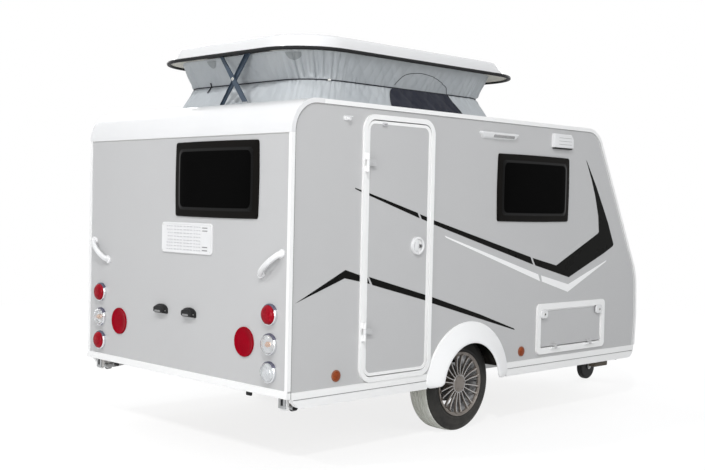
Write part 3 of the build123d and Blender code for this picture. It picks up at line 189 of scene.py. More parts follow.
# base colour, second tone, size of the patches, roughness; the rest falls back to the values in makeFinish
finishes = {
    "greySheet": dict(colour=(0.52, 0.52, 0.522), second=(0.505, 0.505, 0.51), patch=1.4, rough=0.34, coat=0.1,
                      grainScale=900, grain=0.03, dust=(0.62, 0.10), specular=0.35),
    "whiteProfile": dict(colour=(0.90, 0.90, 0.895), second=(0.875, 0.875, 0.87), patch=4, rough=0.32, coat=0.1,
                         grainScale=700, grain=0.03, dust=(0.40, 0.06), specular=0.4),
    "whiteMoulding": dict(colour=(0.785, 0.785, 0.79), second=(0.76, 0.763, 0.77), patch=3, rough=0.22, coat=0.15,
                          grainScale=260, grain=0.02, dust=(0.36, 0.06), specular=0.4),
    "roofSheet": dict(colour=(0.82, 0.82, 0.815), second=(0.77, 0.77, 0.76), patch=2.5, rough=0.4, coat=0.1,
                      grainScale=320, grain=0.12),
    "blackFilm": dict(colour=(0.006, 0.006, 0.0055), second=(0.008, 0.008, 0.0075), patch=6, rough=0.28,
                      grainScale=800, grain=0.02, specular=0.03),
    "whiteFilm": dict(colour=(0.92, 0.92, 0.92), second=(0.90, 0.90, 0.90), patch=6, rough=0.3, coat=0.1,
                      grainScale=800, grain=0.02),
    "canvasCloth": dict(colour=(0.47, 0.495, 0.515), second=(0.385, 0.415, 0.445), patch=5, patchAmount=0.35,
                        rough=0.72, sheen=0.1, grainScale=500, grain=0.05,
                        pattern="weave", patternColour=(0.55, 0.57, 0.58), values={"Threads": 2400.0, "Depth": 0.3},
                        patternBump=0.12, specular=0.2),
    "netCloth": dict(colour=(0.014, 0.016, 0.026), second=(0.045, 0.048, 0.062), patch=14, rough=0.6, sheen=0.1,
                     grainScale=600, grain=0.1, pattern="weave", patternColour=(0.10, 0.10, 0.12),
                     values={"Threads": 1500.0, "Depth": 0.5}, patternBump=0.5, specular=0.05),
    "greyCloth": dict(colour=(0.30, 0.32, 0.33), second=(0.25, 0.27, 0.28), patch=9, rough=0.75,
                      grainScale=700, grain=0.2),
    "darkCord": dict(colour=(0.02, 0.022, 0.028), second=(0.06, 0.062, 0.07), patch=60, rough=0.7,
                     grainScale=1500, grain=0.4, specular=0.2),
    "windowPane": dict(colour=(0.0012, 0.0012, 0.0012), second=(0.002, 0.002, 0.002), patch=2, rough=0.14,
                       grainScale=6, grain=0.05, specular=0.01),
    "windowEdge": dict(colour=(0.004, 0.0035, 0.003), second=(0.006, 0.005, 0.004), patch=8, rough=0.34,
                       grainScale=500, grain=0.05, specular=0.04),
    "tyreRubber": dict(colour=(0.028, 0.028, 0.027), second=(0.036, 0.035, 0.033), patch=9, rough=0.62,
                       grainScale=320, grain=0.25, dust=(0.40, 0.10), specular=0.15),
    # the tread's light grey is dust and painted light: sunlight on the tread painted into its colour
    "treadDustAndPaintedLight": dict(colour=(0.70, 0.71, 0.65), second=(0.80, 0.81, 0.76), patch=14, rough=0.85,
                      grainScale=260, grain=0.5, dust=(0.6, 0.05), specular=0.1),
    "alloyDark": dict(colour=(0.17, 0.148, 0.13), second=(0.20, 0.175, 0.155), patch=12, rough=0.32, metallic=0.35,
                      coat=0.3, grainScale=900, grain=0.03, dust=(0.5, 0.12)),
    "alloyBright": dict(colour=(0.60, 0.60, 0.61), second=(0.50, 0.50, 0.50), patch=10, rough=0.25, metallic=0.5,
                        grainScale=500, grain=0.05, dust=(0.5, 0.1)),
    "chrome": dict(colour=(0.78, 0.79, 0.81), second=(0.76, 0.77, 0.80), patch=20, rough=0.07, metallic=1.0,
                   grainScale=300, grain=0.01),
    "redLens": dict(colour=(0.30, 0.001, 0.010), second=(0.20, 0.0005, 0.006), patch=30, rough=0.08, coat=0.08,
                    pattern="cells", patternColour=(0.62, 0.02, 0.04), patternBump=0.6,
                    values={"Cells": 120.0, "Randomness": 0.0, "Depth": 0.35},
                    specular=0.06),
    "reflectorRed": dict(colour=(0.29, 0.0005, 0.010), second=(0.24, 0.0005, 0.008), patch=12, rough=0.16,
                         pattern="cells", patternColour=(0.36, 0.004, 0.016), patternBump=0.35,
                         values={"Cells": 170.0, "Randomness": 0.0, "Depth": 0.5},
                         specular=0.02),
    "amberLens": dict(colour=(0.26, 0.05, 0.012), second=(0.18, 0.03, 0.008), patch=40, rough=0.1, coat=0.08,
                      pattern="cells", patternColour=(0.50, 0.12, 0.03), patternBump=0.5,
                      values={"Cells": 150.0, "Randomness": 0.0, "Depth": 0.4},
                      specular=0.08),
    "amberEdge": dict(colour=(0.30, 0.10, 0.05), second=(0.24, 0.075, 0.035), patch=40, rough=0.3, coat=0.1,
                      specular=0.2),
    "windowBevel": dict(colour=(0.003, 0.003, 0.003), second=(0.004, 0.004, 0.004), patch=3, rough=0.07,
                        grainScale=6, grain=0.02, specular=0.10),
    "spatWhite": dict(colour=(0.93, 0.93, 0.93), second=(0.91, 0.91, 0.91), patch=4, rough=0.3, coat=0.1, specular=0.3),
    # dark bluish chrome for the upper third of lamp bezels: a painted dark reflection
    "chromeDarkPaintedReflection": dict(colour=(0.12, 0.12, 0.17), second=(0.20, 0.20, 0.26), patch=30, rough=0.18, metallic=0.6,
                        grainScale=300, grain=0.01, specular=0.2),
    "bowlWhite": dict(colour=(0.93, 0.94, 0.95), second=(0.86, 0.87, 0.89), patch=60, rough=0.12, metallic=0.1),
    "bulbAmber": dict(colour=(0.85, 0.40, 0.14), second=(0.72, 0.30, 0.10), patch=40, rough=0.2, specular=0.2),
    "paleGrey": dict(colour=(0.56, 0.56, 0.58), second=(0.50, 0.50, 0.52), patch=20, rough=0.5,
                     grainScale=600, grain=0.1),
    # plain dark grey for locks and marks, and painted shade for the groove lines and slots drawn with it
    "greyAndPaintedShade": dict(colour=(0.30, 0.30, 0.30), second=(0.26, 0.26, 0.26), patch=12, rough=0.6,
                      grainScale=600, grain=0.1, specular=0.2),
    "greyLens": dict(colour=(0.30, 0.30, 0.30), second=(0.38, 0.38, 0.38), patch=30, rough=0.2, coat=0.4,
                     grainScale=300, grain=0.05),
    "clearLens": dict(colour=(0.93, 0.94, 0.95), second=(0.88, 0.90, 0.92), patch=30, rough=0.06, coat=0.5,
                      transmission=0.85, grainScale=300, grain=0.01, pattern="cells",
                      patternColour=(0.95, 0.96, 0.97), patternBump=0.3,
                      values={"Cells": 110.0, "Randomness": 0.0, "Depth": 0.3}),
    "blackPlastic": dict(colour=(0.014, 0.014, 0.015), second=(0.03, 0.03, 0.03), patch=10, rough=0.42,
                         grainScale=600, grain=0.25, specular=0.12),
    "greyPlastic": dict(colour=(0.22, 0.22, 0.22), second=(0.26, 0.26, 0.26), patch=10, rough=0.5,
                        grainScale=600, grain=0.2),
    "sealRubber": dict(colour=(0.018, 0.018, 0.019), second=(0.026, 0.026, 0.027), patch=8, rough=0.5,
                       grainScale=500, grain=0.15, specular=0.08),
    "galvanised": dict(colour=(0.42, 0.43, 0.44), second=(0.34, 0.35, 0.35), patch=5, rough=0.42, metallic=0.85,
                       pattern="cells", patternColour=(0.60, 0.61, 0.62), patternBump=0.05,
                       values={"Cells": 60.0, "Randomness": 1.0, "Depth": 0.6}, grainScale=500, grain=0.08,
                       dust=(0.42, 0.35)),
    "zincBright": dict(colour=(0.62, 0.62, 0.60), second=(0.52, 0.52, 0.50), patch=20, rough=0.3, metallic=0.95,
                       grainScale=700, grain=0.06),
    "hitchBlack": dict(colour=(0.018, 0.018, 0.019), second=(0.03, 0.03, 0.03), patch=12, rough=0.45,
                       grainScale=240, grain=0.3, dust=(0.4, 0.2), specular=0.25),
    "scissorSteel": dict(colour=(0.045, 0.066, 0.095), second=(0.06, 0.08, 0.11), patch=10, rough=0.36,
                         grainScale=500, grain=0.08, specular=0.3),
    "steadyFoot": dict(colour=(0.10, 0.085, 0.065), second=(0.07, 0.06, 0.045), patch=20, rough=0.55,
                       grainScale=400, grain=0.2, specular=0.2),
    "wheelWell": dict(colour=(0.008, 0.008, 0.008), second=(0.014, 0.013, 0.012), patch=8, rough=0.8,
                      grainScale=180, grain=0.5, dust=(0.8, 0.3), specular=0.1),
    "floorBoard": dict(colour=(0.24, 0.17, 0.11), second=(0.20, 0.14, 0.09), patch=3, rough=0.5,
                       pattern="board", patternColour=(0.34, 0.25, 0.17), patternBump=0.05,
                       values={"Lines": 30.0, "Depth": 0.8}, grainScale=300, grain=0.05),
    "creamLiner": dict(colour=(0.62, 0.60, 0.53), second=(0.57, 0.55, 0.49), patch=4, rough=0.6,
                       grainScale=420, grain=0.2),
}


def makeFinish(name, look):
    # an overlay pattern if the finish has one, then the tone group; plain numbers go straight into the shader
    material = bpy.data.materials.new(name)
    material.use_nodes = True
    tree = material.node_tree
    shader = tree.nodes["Principled BSDF"]
    colour, normal = (*look["colour"], 1), None
    if "pattern" in look:
        values = {"Colour": colour, "Second Colour": (*look["patternColour"], 1), **look["values"]}
        overlay = addNode(tree, "ShaderNodeGroup", node_tree=groups[look["pattern"]])
        for label, value in values.items():
            overlay.inputs[label].default_value = value
        colour = overlay.outputs["Colour"]
        normal = addNode(tree, "ShaderNodeBump", {"Strength": look["patternBump"], "Distance": 0.001,
                                                  "Height": overlay.outputs["Height"]}).outputs["Normal"]
    dustTop, dustAmount = look.get("dust", (0.5, 0.0))
    tone = addNode(tree, "ShaderNodeGroup", node_tree=groups["tone"])
    given = {"Colour": colour, "Second Colour": (*look["second"], 1), "Patch Scale": look["patch"],
             "Patch Amount": look.get("patchAmount", 0.6), "Dust Colour": (*dustBrown, 1), "Dust Top": dustTop,
             "Dust Amount": dustAmount, "Roughness": look["rough"], "Roughness Spread": 0.12,
             "Grain Scale": look.get("grainScale", 300)}
    for label, value in given.items():
        feed(tree, tone.inputs[label], value)
    grain = addNode(tree, "ShaderNodeBump", {"Strength": look.get("grain", 0.02), "Distance": 0.0006,
                                             "Height": tone.outputs["Height"]})
    if normal is not None:
        tree.links.new(normal, grain.inputs["Normal"])
    tree.links.new(tone.outputs["Colour"], shader.inputs["Base Color"])
    tree.links.new(tone.outputs["Roughness"], shader.inputs["Roughness"])
    tree.links.new(grain.outputs["Normal"], shader.inputs["Normal"])
    shader.inputs["Metallic"].default_value = look.get("metallic", 0.0)
    shader.inputs["Specular IOR Level"].default_value = look.get("specular", 0.5)
    shader.inputs["Coat Weight"].default_value = look.get("coat", 0.0)
    shader.inputs["Coat Roughness"].default_value = 0.05
    shader.inputs["Sheen Weight"].default_value = look.get("sheen", 0.0)
    shader.inputs["Transmission Weight"].default_value = look.get("transmission", 0.0)
    return material


finish = {name: makeFinish(name, look) for name, look in finishes.items()}

nodeFinish = {
    "greySheet": ("side_wall_left", "side_wall_right", "rear_wall", "front_wall", "entrance_door", "locker_flap"),
    "whiteProfile": ("corner_trim_left", "corner_trim_right", "rear_bottom_trim", "skirt_left", "skirt_right",
                     "door_frame", "door_edging", "locker_frame"),
    "whiteMoulding": ("rear_roof_cap", "lid_shell", "wheel_arches", "vent_box", "vent_grille", "awning_light",
                      "grab_handles", "door_handle"),
    "roofSheet": ("roof_panel",),
    "floorBoard": ("floor_panel",),
    "wheelWell": ("wheel_boxes",),
    "windowPane": ("front_window", "rear_window", "side_windows"),
    "tyreRubber": ("tyre_left", "tyre_right"),
    "alloyDark": ("wheel_rim_left", "wheel_rim_right"),
    "galvanised": ("axle_tube", "chassis_member_left", "chassis_member_right", "cross_members", "swing_arms",
                   "steady_brackets", "steady_front_left", "steady_front_right", "steady_rear_left",
                   "steady_rear_right", "jockey_tube", "jockey_stem", "jockey_fork", "scissor_brackets"),
    "hitchBlack": ("coupling_head", "handbrake_lever"),
    "blackPlastic": ("plate_lamps", "jockey_wheel"),
    "canvasCloth": ("canvas",),
    "redLens": ("rear_lamps",),
    "reflectorRed": ("rear_reflectors",),
    "amberLens": ("side_lights",),
    "sealRubber": ("lid_seal",),
    "scissorSteel": ("scissor_arms_hinged", "scissor_arms_crossing"),
}
for finishName, names in nodeFinish.items():
    for nodeName in names:
        mesh = nodes[nodeName].data
        mesh.materials.clear()
        mesh.materials.append(finish[finishName])

# the cabin side of walls, roof and door is lined: faces that look inwards take the cream liner
inward = {"side_wall_left": (0, -1, 0), "side_wall_right": (0, 1, 0), "rear_wall": (1, 0, 0),
          "front_wall": (-1, 0, 0), "roof_panel": (0, 0, -1), "entrance_door": (0, 1, 0),
          "locker_flap": (0, 1, 0), "rear_roof_cap": (0.7, 0, -0.7)}
for nodeName, direction in inward.items():
    mesh = nodes[nodeName].data
    normals = np.empty(3 * len(mesh.polygons), np.float32)
    mesh.polygons.foreach_get("normal", normals)
    mesh.materials.append(finish["creamLiner"])
    mesh.polygons.foreach_set("material_index", (normals.reshape(-1, 3) @ np.array(direction) > 0.65).astype(np.int32))
print("finishes made:", len(finish))


# a shape is (points, quads, end faces), and a grid of points (rows, columns, 3) makes one
def gridFaces(rows, columns, wrapRows, wrapColumns):
    # quads between each row and the next and each column and the next, by index arithmetic
    row, column = np.meshgrid(np.arange(rows if wrapRows else rows - 1),
                              np.arange(columns if wrapColumns else columns - 1), indexing="ij")
    nextRow, nextColumn = (row + 1) % rows, (column + 1) % columns
    corners = [row * columns + column, nextRow * columns + column,
               nextRow * columns + nextColumn, row * columns + nextColumn]
    return np.stack(corners, -1).reshape(-1, 4)


def gridShape(grid, wrapRows=False, wrapColumns=True, caps=True):
    # the surface through every point of a grid, with its first and last row filled if asked
    rows, columns = grid.shape[:2]
    quads = gridFaces(rows, columns, wrapRows, wrapColumns)
    ends = [np.arange(columns)[::-1], (rows - 1) * columns + np.arange(columns)] if caps else []
    return grid.reshape(-1, 3), quads, ends


def unitRing(sideSteps=2, cornerSteps=8):
    # a rounded rectangle's points as shares: point = straight * (half - radius) + round * radius
    angle = np.linspace(0, math.pi / 2, cornerSteps)
    straight, bend = [], []
    for quarter, (signX, signY) in enumerate(((1, 1), (-1, 1), (-1, -1), (1, -1))):
        turn = angle + quarter * math.pi / 2
        bend.append(np.stack([np.cos(turn), np.sin(turn)], -1))
        straight.append(np.tile((signX, signY), (cornerSteps, 1)))
        share = np.linspace(0, 1, sideSteps + 1)[1:-1, None]
        following = ((-1, 1), (-1, -1), (1, -1), (1, 1))[quarter]
        straight.append((1 - share) * np.array((signX, signY)) + share * np.array(following))
        bend.append(np.tile(bend[-1][-1], (len(share), 1)))
    return np.concatenate(straight).astype(float), np.concatenate(bend)


def roundOutline(width, height, radius, inset=0.0, steps=8, sideSteps=2):
    # rounded rectangle: straight share times (half size - radius), plus round share times radius
    straight, bend = unitRing(sideSteps, steps)
    half = np.array([width / 2 - inset, height / 2 - inset])
    corner = min(max(radius - inset, 0.0005), half.min())
    return straight * (half - corner) + bend * corner


def slab(outlineAt, levels):
    # outlines stacked one above another: each level is (inset, depth)
    rows = [np.concatenate([outline, np.full((len(outline), 1), depth)], 1)
            for outline, depth in ((outlineAt(inset), depth) for inset, depth in levels)]
    return gridShape(np.stack(rows))


def roundSlab(width, height, radius, thick, edge=0.002, steps=8, centre=(0, 0), base=0.0):
    # plate with a quarter round along its outer edge
    turn = np.linspace(0, math.pi / 2, 5)
    levels = [(0.0, base)] + [(edge * (1 - math.cos(a)), base + thick - edge + edge * math.sin(a)) for a in turn]
    shape = slab(lambda inset: roundOutline(width, height, radius, inset, steps), levels)
    return moved(shape, (*centre, 0))


def turned(profile, steps=48, start=0.0, sweep=fullTurn):
    # (radius, height) pairs turned about the local third axis
    profile = np.asarray(profile, float)
    whole = abs(sweep - fullTurn) < 1e-9
    angle = start + np.linspace(0, sweep, steps, endpoint=not whole)
    grid = np.stack([profile[:, :1] * np.cos(angle), profile[:, :1] * np.sin(angle),
                     np.repeat(profile[:, 1:], steps, 1)], -1)
    return gridShape(grid, wrapColumns=whole)


def carried(path, section, up=(0, 0, 1), closed=False, scale=None):
    # a flat section carried along a path: its first axis lies across the path, its second towards `up`
    path, section = np.asarray(path, float), np.asarray(section, float)
    tangent = np.roll(path, -1, 0) - np.roll(path, 1, 0) if closed else np.gradient(path, axis=0)
    tangent /= np.linalg.norm(tangent, axis=1, keepdims=True)
    across = np.cross(tangent, np.broadcast_to(np.asarray(up, float), path.shape))
    across /= np.linalg.norm(across, axis=1, keepdims=True)
    rise = np.cross(across, tangent)
    size = np.ones(len(path)) if scale is None else np.asarray(scale, float)
    grid = path[:, None] + size[:, None, None] * (section[None, :, :1] * across[:, None]
                                                  + section[None, :, 1:] * rise[:, None])
    return gridShape(grid, wrapRows=closed, caps=not closed)


def circle(radius, sides=12):
    # radius times cosine and sine of an even turn
    angle = np.linspace(0, fullTurn, sides, endpoint=False)
    return np.stack([radius * np.cos(angle), radius * np.sin(angle)], -1)


def smoothPath(points, steps):
    # curve through every point, each span a cubic that leans on its neighbours
    points = np.asarray(points, float)
    padded = np.concatenate([2 * points[:1] - points[1:2], points, 2 * points[-1:] - points[-2:-1]])
    at = np.linspace(0, len(points) - 1, steps)
    span = np.minimum(at.astype(int), len(points) - 2)
    t = (at - span)[:, None]
    a, b, c, d = (padded[span + k] for k in range(4))
    return 0.5 * (2 * b + (c - a) * t + (2 * a - 5 * b + 4 * c - d) * t ** 2 + (3 * b - a - 3 * c + d) * t ** 3)


def moved(shape, offset):
    return shape[0] + np.asarray(offset, float), shape[1], shape[2]


def placed(shape, place):
    return place(shape[0]), shape[1], shape[2]


def fitted(parts, offset, place):
    # (shape, finish) pairs moved together, then laid on their wall
    return [(placed(moved(shape, offset), place), look) for shape, look in parts]


def onSide(side, stand=0.0):
    # local axes: forward from the rear wall, up, outwards from that side wall
    def place(points):
        forward, up, out = points.T
        return np.stack([rearX + forward, side * (sideY + stand + out), up], -1)
    return place


def onRear(points):
    # local axes: towards +Y, up, backwards from the rear wall
    across, up, out = points.T
    return np.stack([rearX - out, across, up], -1)


def onRoof(points):
    # local axes: forward from the rear wall, across, up
    forward, across, up = points.T
    return np.stack([rearX + forward, across, up], -1)


def facingPlane(origin, first, second, out):
    # local axes along three given directions from an origin
    axes = np.array([first, second, out], float)
    return lambda points: np.asarray(origin, float) + points @ axes


def makePiece(name, parts, body, recalc=True, sharp=38, bevel=0.0, uv=None):
    # one mesh object from (shape, finish) pairs, riding on a body
    points, faces, owner, finishNames, count = [], [], [], [], 0
    for shape, finishName in parts:
        if finishName not in finishNames:
            finishNames.append(finishName)
        points.append(shape[0])
        faces += (shape[1] + count).tolist() + [list(end + count) for end in shape[2]]
        owner += [finishNames.index(finishName)] * (len(shape[1]) + len(shape[2]))
        count += len(shape[0])
    mesh = bpy.data.meshes.new(name)
    mesh.from_pydata(np.concatenate(points).tolist(), [], faces)
    mesh.polygons.foreach_set("material_index", np.array(owner, np.int32))
    mesh.polygons.foreach_set("use_smooth", np.ones(len(faces), bool))
    for finishName in finishNames:
        mesh.materials.append(finish[finishName])
    if uv is not None:
        corners = np.zeros(len(mesh.loops), np.int32)
        mesh.loops.foreach_get("vertex_index", corners)
        mesh.uv_layers.new(name="UVMap").data.foreach_set("uv", uv[corners].astype(np.float32).ravel())
    if recalc:
        work = bmesh.new()
        work.from_mesh(mesh)
        bmesh.ops.remove_doubles(work, verts=work.verts, dist=1e-6)
        bmesh.ops.recalc_face_normals(work, faces=work.faces)
        work.to_mesh(mesh)
        work.free()
    mesh.set_sharp_from_angle(angle=math.radians(sharp))
    piece = bpy.data.objects.new(name, mesh)
    bpy.context.scene.collection.objects.link(piece)
    if bevel:
        modifier = piece.modifiers.new("edges", "BEVEL")
        modifier.width, modifier.segments, modifier.limit_method = bevel, 2, "ANGLE"
    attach(piece, body)
    return piece


# camera: metres from the rear wall, degrees, millimetres of lens
view = {"place": (-3.7669, -5.3005, 1.419), "yaw": 45.523, "pitch": 1.660, "roll": 1.2033, "lens": 55.41}


def makeCamera():
    # a camera looks along its own -Z, so its third axis is the reverse of ahead
    yaw, pitch, roll = (math.radians(view[key]) for key in ("yaw", "pitch", "roll"))
    ahead = Vector((math.cos(yaw) * math.cos(pitch), math.sin(yaw) * math.cos(pitch), -math.sin(pitch)))
    right = ahead.cross(Vector((0, 0, 1))).normalized()
    up = right.cross(ahead)
    tiltedRight = math.cos(roll) * right + math.sin(roll) * up
    tiltedUp = math.cos(roll) * up - math.sin(roll) * right
    camera = bpy.data.objects.new("camera", bpy.data.cameras.new("camera"))
    camera.matrix_world = Matrix((tiltedRight, tiltedUp, -ahead)).transposed().to_4x4()
    camera.location = (rearX + view["place"][0], view["place"][1], view["place"][2])
    camera.data.lens, camera.data.sensor_width = view["lens"], 36.0
    bpy.context.scene.collection.objects.link(camera)
    bpy.context.scene.camera = camera


# the floor's own grey, the grey it throws back on the object, and the glow that only the eye sees
studio = {"floorSize": 60.0, "fadeFrom": 3.5, "fadeTo": 8.0, "floorColour": 0.20, "bounce": 0.72, "lift": 0.81,
          "ambient": 0.33}


def seenDirectly(tree):
    # 1 for rays from the eye, from a mirror or through glass
    path = addNode(tree, "ShaderNodeLightPath").outputs
    return maths(tree, "MAXIMUM", maths(tree, "MAXIMUM", path["Is Camera Ray"], path["Is Glossy Ray"]),
                 path["Is Transmission Ray"])


def makeStage():
    # white world and a pale floor that fades to white; both throw a plain grey on the object
    world = bpy.data.worlds.new("studio")
    bpy.context.scene.world = world
    world.use_nodes = True
    tree = world.node_tree
    background = tree.nodes["Background"]
    direct = seenDirectly(tree)
    feed(tree, background.inputs["Color"],
         mixColour(tree, direct, (0.93, 0.965, 1.0, 1), (1, 1, 1, 1)))
    feed(tree, background.inputs["Strength"], rescale(tree, direct, 0.0, 1.0, studio["ambient"], 1.0))
    half = studio["floorSize"]
    corners = np.array([[-half, -half, 0], [half, -half, 0], [half, half, 0], [-half, half, 0]], float)
    mesh = bpy.data.meshes.new("floor")
    mesh.from_pydata(corners.tolist(), [], [[0, 1, 2, 3]])
    floor = bpy.data.objects.new("floor", mesh)
    bpy.context.scene.collection.objects.link(floor)
    material = bpy.data.materials.new("paleFloor")
    material.use_nodes = True
    tree = material.node_tree
    shader = tree.nodes["Principled BSDF"]
    shader.inputs["Roughness"].default_value = 0.9
    shader.inputs["Specular IOR Level"].default_value = 0.1
    level, bounce = studio["floorColour"], studio["bounce"]
    place = addNode(tree, "ShaderNodeTexCoord").outputs["Object"]
    speckle = addNode(tree, "ShaderNodeTexNoise", {"Vector": place, "Scale": 40.0, "Detail": 4.0}).outputs["Fac"]
    seen = mixColour(tree, speckle, (level, level, level, 1), (level - 0.01, level - 0.01, level - 0.01, 1))
    direct = seenDirectly(tree)
    # what the object receives from the floor is a plain pale grey
    feed(tree, shader.inputs["Base Color"], mixColour(tree, direct, (bounce, bounce, bounce, 1), seen))
    glow = addNode(tree, "ShaderNodeEmission", {"Strength": maths(tree, "MULTIPLY", direct, studio["lift"])})
    near = addNode(tree, "ShaderNodeAddShader", {0: shader.outputs[0], 1: glow.outputs[0]})
    white = addNode(tree, "ShaderNodeEmission", {"Strength": 1.0})
    distance = addNode(tree, "ShaderNodeVectorMath", {0: place}, operation="LENGTH").outputs["Value"]
    fade = maths(tree, "MULTIPLY", rescale(tree, distance, studio["fadeFrom"], studio["fadeTo"]), direct)
    blend = addNode(tree, "ShaderNodeMixShader", {0: fade, 1: near.outputs[0], 2: white.outputs[0]})
    tree.links.new(blend.outputs[0], tree.nodes["Material Output"].inputs["Surface"])
    mesh.materials.append(material)
    bpy.context.scene.view_settings.view_transform = "Standard"


# each lamp: where it stands, what it faces, its size in metres, its power in watts
lamps = {
    "sun": dict(place=(-8.2, 1.6, 8.4), aim=(-1.0, 0, 1.2), size=0.45, power=225),
    "quarterSun": dict(place=(-7.2, -6.0, 8.3), aim=(-1.0, 0, 1.2), size=0.45, power=440),
    "sideFill": dict(place=(-2.4, -8.4, 4.6), aim=(-0.8, -1.0, 0.9), size=5.0, power=185),
    "rearFill": dict(place=(-8.8, -2.6, 1.2), aim=(-2.2, 0, 0.2), size=3.0, power=145),
    "farSide": dict(place=(0.8, 8.6, 4.4), aim=(0, 1.0, 1.0), size=5.0, power=385),
    "frontFill": dict(place=(9.8, 1.5, 4.2), aim=(1.2, 0, 1.0), size=5.0, power=300),
}


def makeLamps():
    for name, lamp in lamps.items():
        data = bpy.data.lights.new(name, "AREA")
        data.size, data.energy = lamp["size"], lamp["power"]
        light = bpy.data.objects.new(name, data)
        light.location = lamp["place"]
        direction = Vector(lamp["aim"]) - Vector(lamp["place"])
        light.rotation_euler = direction.to_track_quat("-Z", "Y").to_euler()
        bpy.context.scene.collection.objects.link(light)


makeCamera()
makeStage()
makeLamps()
print("camera, floor and light placed")


# the lid is an open shell over a dark gasket, with slots in its flange for the scissor arms
lid = {
    "rear": 0.260, "front": 2.379, "half": 0.776, "corner": 0.350,
    # inset at the rear, at the front and at each side, then the height, from the ceiling round to the crown
    "inner": ((0.22, 0.30, 0.22, 2.383), (0.16, 0.24, 0.16, 2.380), (0.135, 0.21, 0.135, 2.366),
              (0.128, 0.20, 0.128, 2.340)),
    "mouth": ((0.125, 0.19, 0.125, 2.330), (0.122, 0.187, 0.122, 2.3065), (0.118, 0.183, 0.118, 2.3035)),
    "outer": ((0.012, 0.010, 0.012, 2.3035), (0.010, 0.008, 0.010, 2.3100), (0.034, 0.014, 0.034, 2.3115),
              (0.037, 0.026, 0.037, 2.320), (0.041, 0.046, 0.042, 2.336), (0.047, 0.076, 0.049, 2.361),
              (0.051, 0.090, 0.054, 2.374), (0.058, 0.101, 0.061, 2.382), (0.072, 0.122, 0.076, 2.389),
              (0.105, 0.165, 0.11, 2.3935), (0.20, 0.27, 0.20, 2.399), (0.36, 0.45, 0.34, 2.4035),
              (0.56, 0.66, 0.52, 2.4055)),
    "slotReach": 0.040, "slotMiddle": -0.085, "slotHalf": 0.3157, "gasketWide": 0.026, "gasketHigh": 0.021,
}


def lidOutline(insets, notched=False):
    # rounded rectangle in plan; a notch takes its two ends outwards around the scissor arms
    rear, front, side = insets[:3]
    length = lid["front"] - lid["rear"] - rear - front
    corner = max(lid["corner"] - side * 0.8, 0.05)
    outline = roundOutline(length, 2 * (lid["half"] - side), corner, 0.0, 14, 44)
    outline[:, 0] += (lid["front"] + lid["rear"] - front + rear) / 2
    if notched:
        beside = np.abs(outline[:, 1] - lid["slotMiddle"]) < lid["slotHalf"]
        atRear, atFront = outline[:, 0] < lid["rear"] + rear + 0.002, outline[:, 0] > lid["front"] - front - 0.002
        outline[beside & atRear, 0] = lid["rear"] + lid["slotReach"]
        outline[beside & atFront, 0] = lid["front"] - lid["slotReach"]
    return outline


def makeLid():
    # rows of outlines: height by height from the ceiling round the flange to the crown
    rows = [lidOutline(level) for level in lid["inner"]]
    rows += [lidOutline(level, True) for level in lid["mouth"]] + [lidOutline(level) for level in lid["outer"]]
    heights = [level[3] for level in lid["inner"] + lid["mouth"] + lid["outer"]]
    grid = np.stack([np.concatenate([row, np.full((len(row), 1), height)], 1) for row, height in zip(rows, heights)])
    count = len(lid["inner"]) + len(lid["mouth"])
    lining = placed(gridShape(grid[:count + 1], caps=False), onRoof)
    lining = (lining[0], lining[1], [np.arange(grid.shape[1])[::-1]])
    shell = placed(gridShape(grid[count:], caps=False), onRoof)
    shell = (shell[0], shell[1], [(len(grid) - count - 1) * grid.shape[1] + np.arange(grid.shape[1])])
    piece = makePiece("lidMoulding", [(lining, "creamLiner"), (shell, "whiteMoulding")], "lid",
                      sharp=50)
    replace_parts(piece, "lid_shell")
    wide, high = lid["gasketWide"], lid["gasketHigh"]
    path = lidOutline((wide / 2, wide / 2, wide / 2))
    path = np.concatenate([path, np.full((len(path), 1), 2.3015)], 1)
    section = roundOutline(wide, high, 0.009, 0.0, 5, 1)
    gasket = placed(carried(path, section, closed=True), onRoof)
    piece = makePiece("lidGasket", [(gasket, "sealRubber")], "lid")
    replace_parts(piece, "lid_seal")


makeLid()


# the tent canvas is one ring of cloth from the roof rail to the lid, drawn in at the waist by a cord
canvas = {
    # rear and front edge, half width, corner radius and height of the foot, the waist and the head
    "foot": (0.354, 2.204, 0.704, 0.26, 1.9815), "waist": (0.444, 2.084, 0.642, 0.24, 2.141),
    "head": (0.358, 2.190, 0.704, 0.31, 2.3040), "columns": (72, 170, 72, 170), "cornerColumns": 84, "rows": 49,
    "gather": 0.0048, "pleat": 0.0160, "pinch": 0.0080, "billow": 0.010, "flat": (6.02, 0.47), "keep": 0.075,
    # across the rear: the grey half-discs, the toggle's path (across, up); along the right: the buckle
    "greyHalfDiscs": (0.200, -0.530), "greyHalfDiscZ": 2.290, "buckle": 0.600,
    "toggle": ((0.284, 2.164), (0.287, 2.150), (0.296, 2.133), (0.298, 2.102)),
}


def canvasRing():
    # column by column around the ring: which way the straight part points, and the bend's direction
    ringX, ringY, bendX, bendY = [], [], [], []
    order = ((1, 1), (-1, 1), (-1, -1), (1, -1))
    for quarter, (signX, signY) in enumerate(order):
        turn = np.linspace(0, math.pi / 2, canvas["cornerColumns"]) + quarter * math.pi / 2
        nextX, nextY = order[(quarter + 1) % 4]
        share = np.linspace(0, 1, canvas["columns"][1 - quarter % 2] + 2)[1:-1]
        ringX += [np.full(len(turn), signX), signX + share * (nextX - signX)]
        ringY += [np.full(len(turn), signY), signY + share * (nextY - signY)]
        bendX += [np.cos(turn), np.full(len(share), math.cos(turn[-1]))]
        bendY += [np.sin(turn), np.full(len(share), math.sin(turn[-1]))]
    return tuple(np.concatenate(part).astype(float) for part in (ringX, ringY, bendX, bendY))


canvasFrame = canvasRing()


def canvasSize(up):
    # rear, front, half width, corner radius and height at a share of the way up
    up = np.asarray(up, float)
    foot, waist, head = (canvas[key] for key in ("foot", "waist", "head"))
    return [np.interp(up, (0, 0.5, 1), (foot[k], waist[k], head[k])) for k in range(5)]


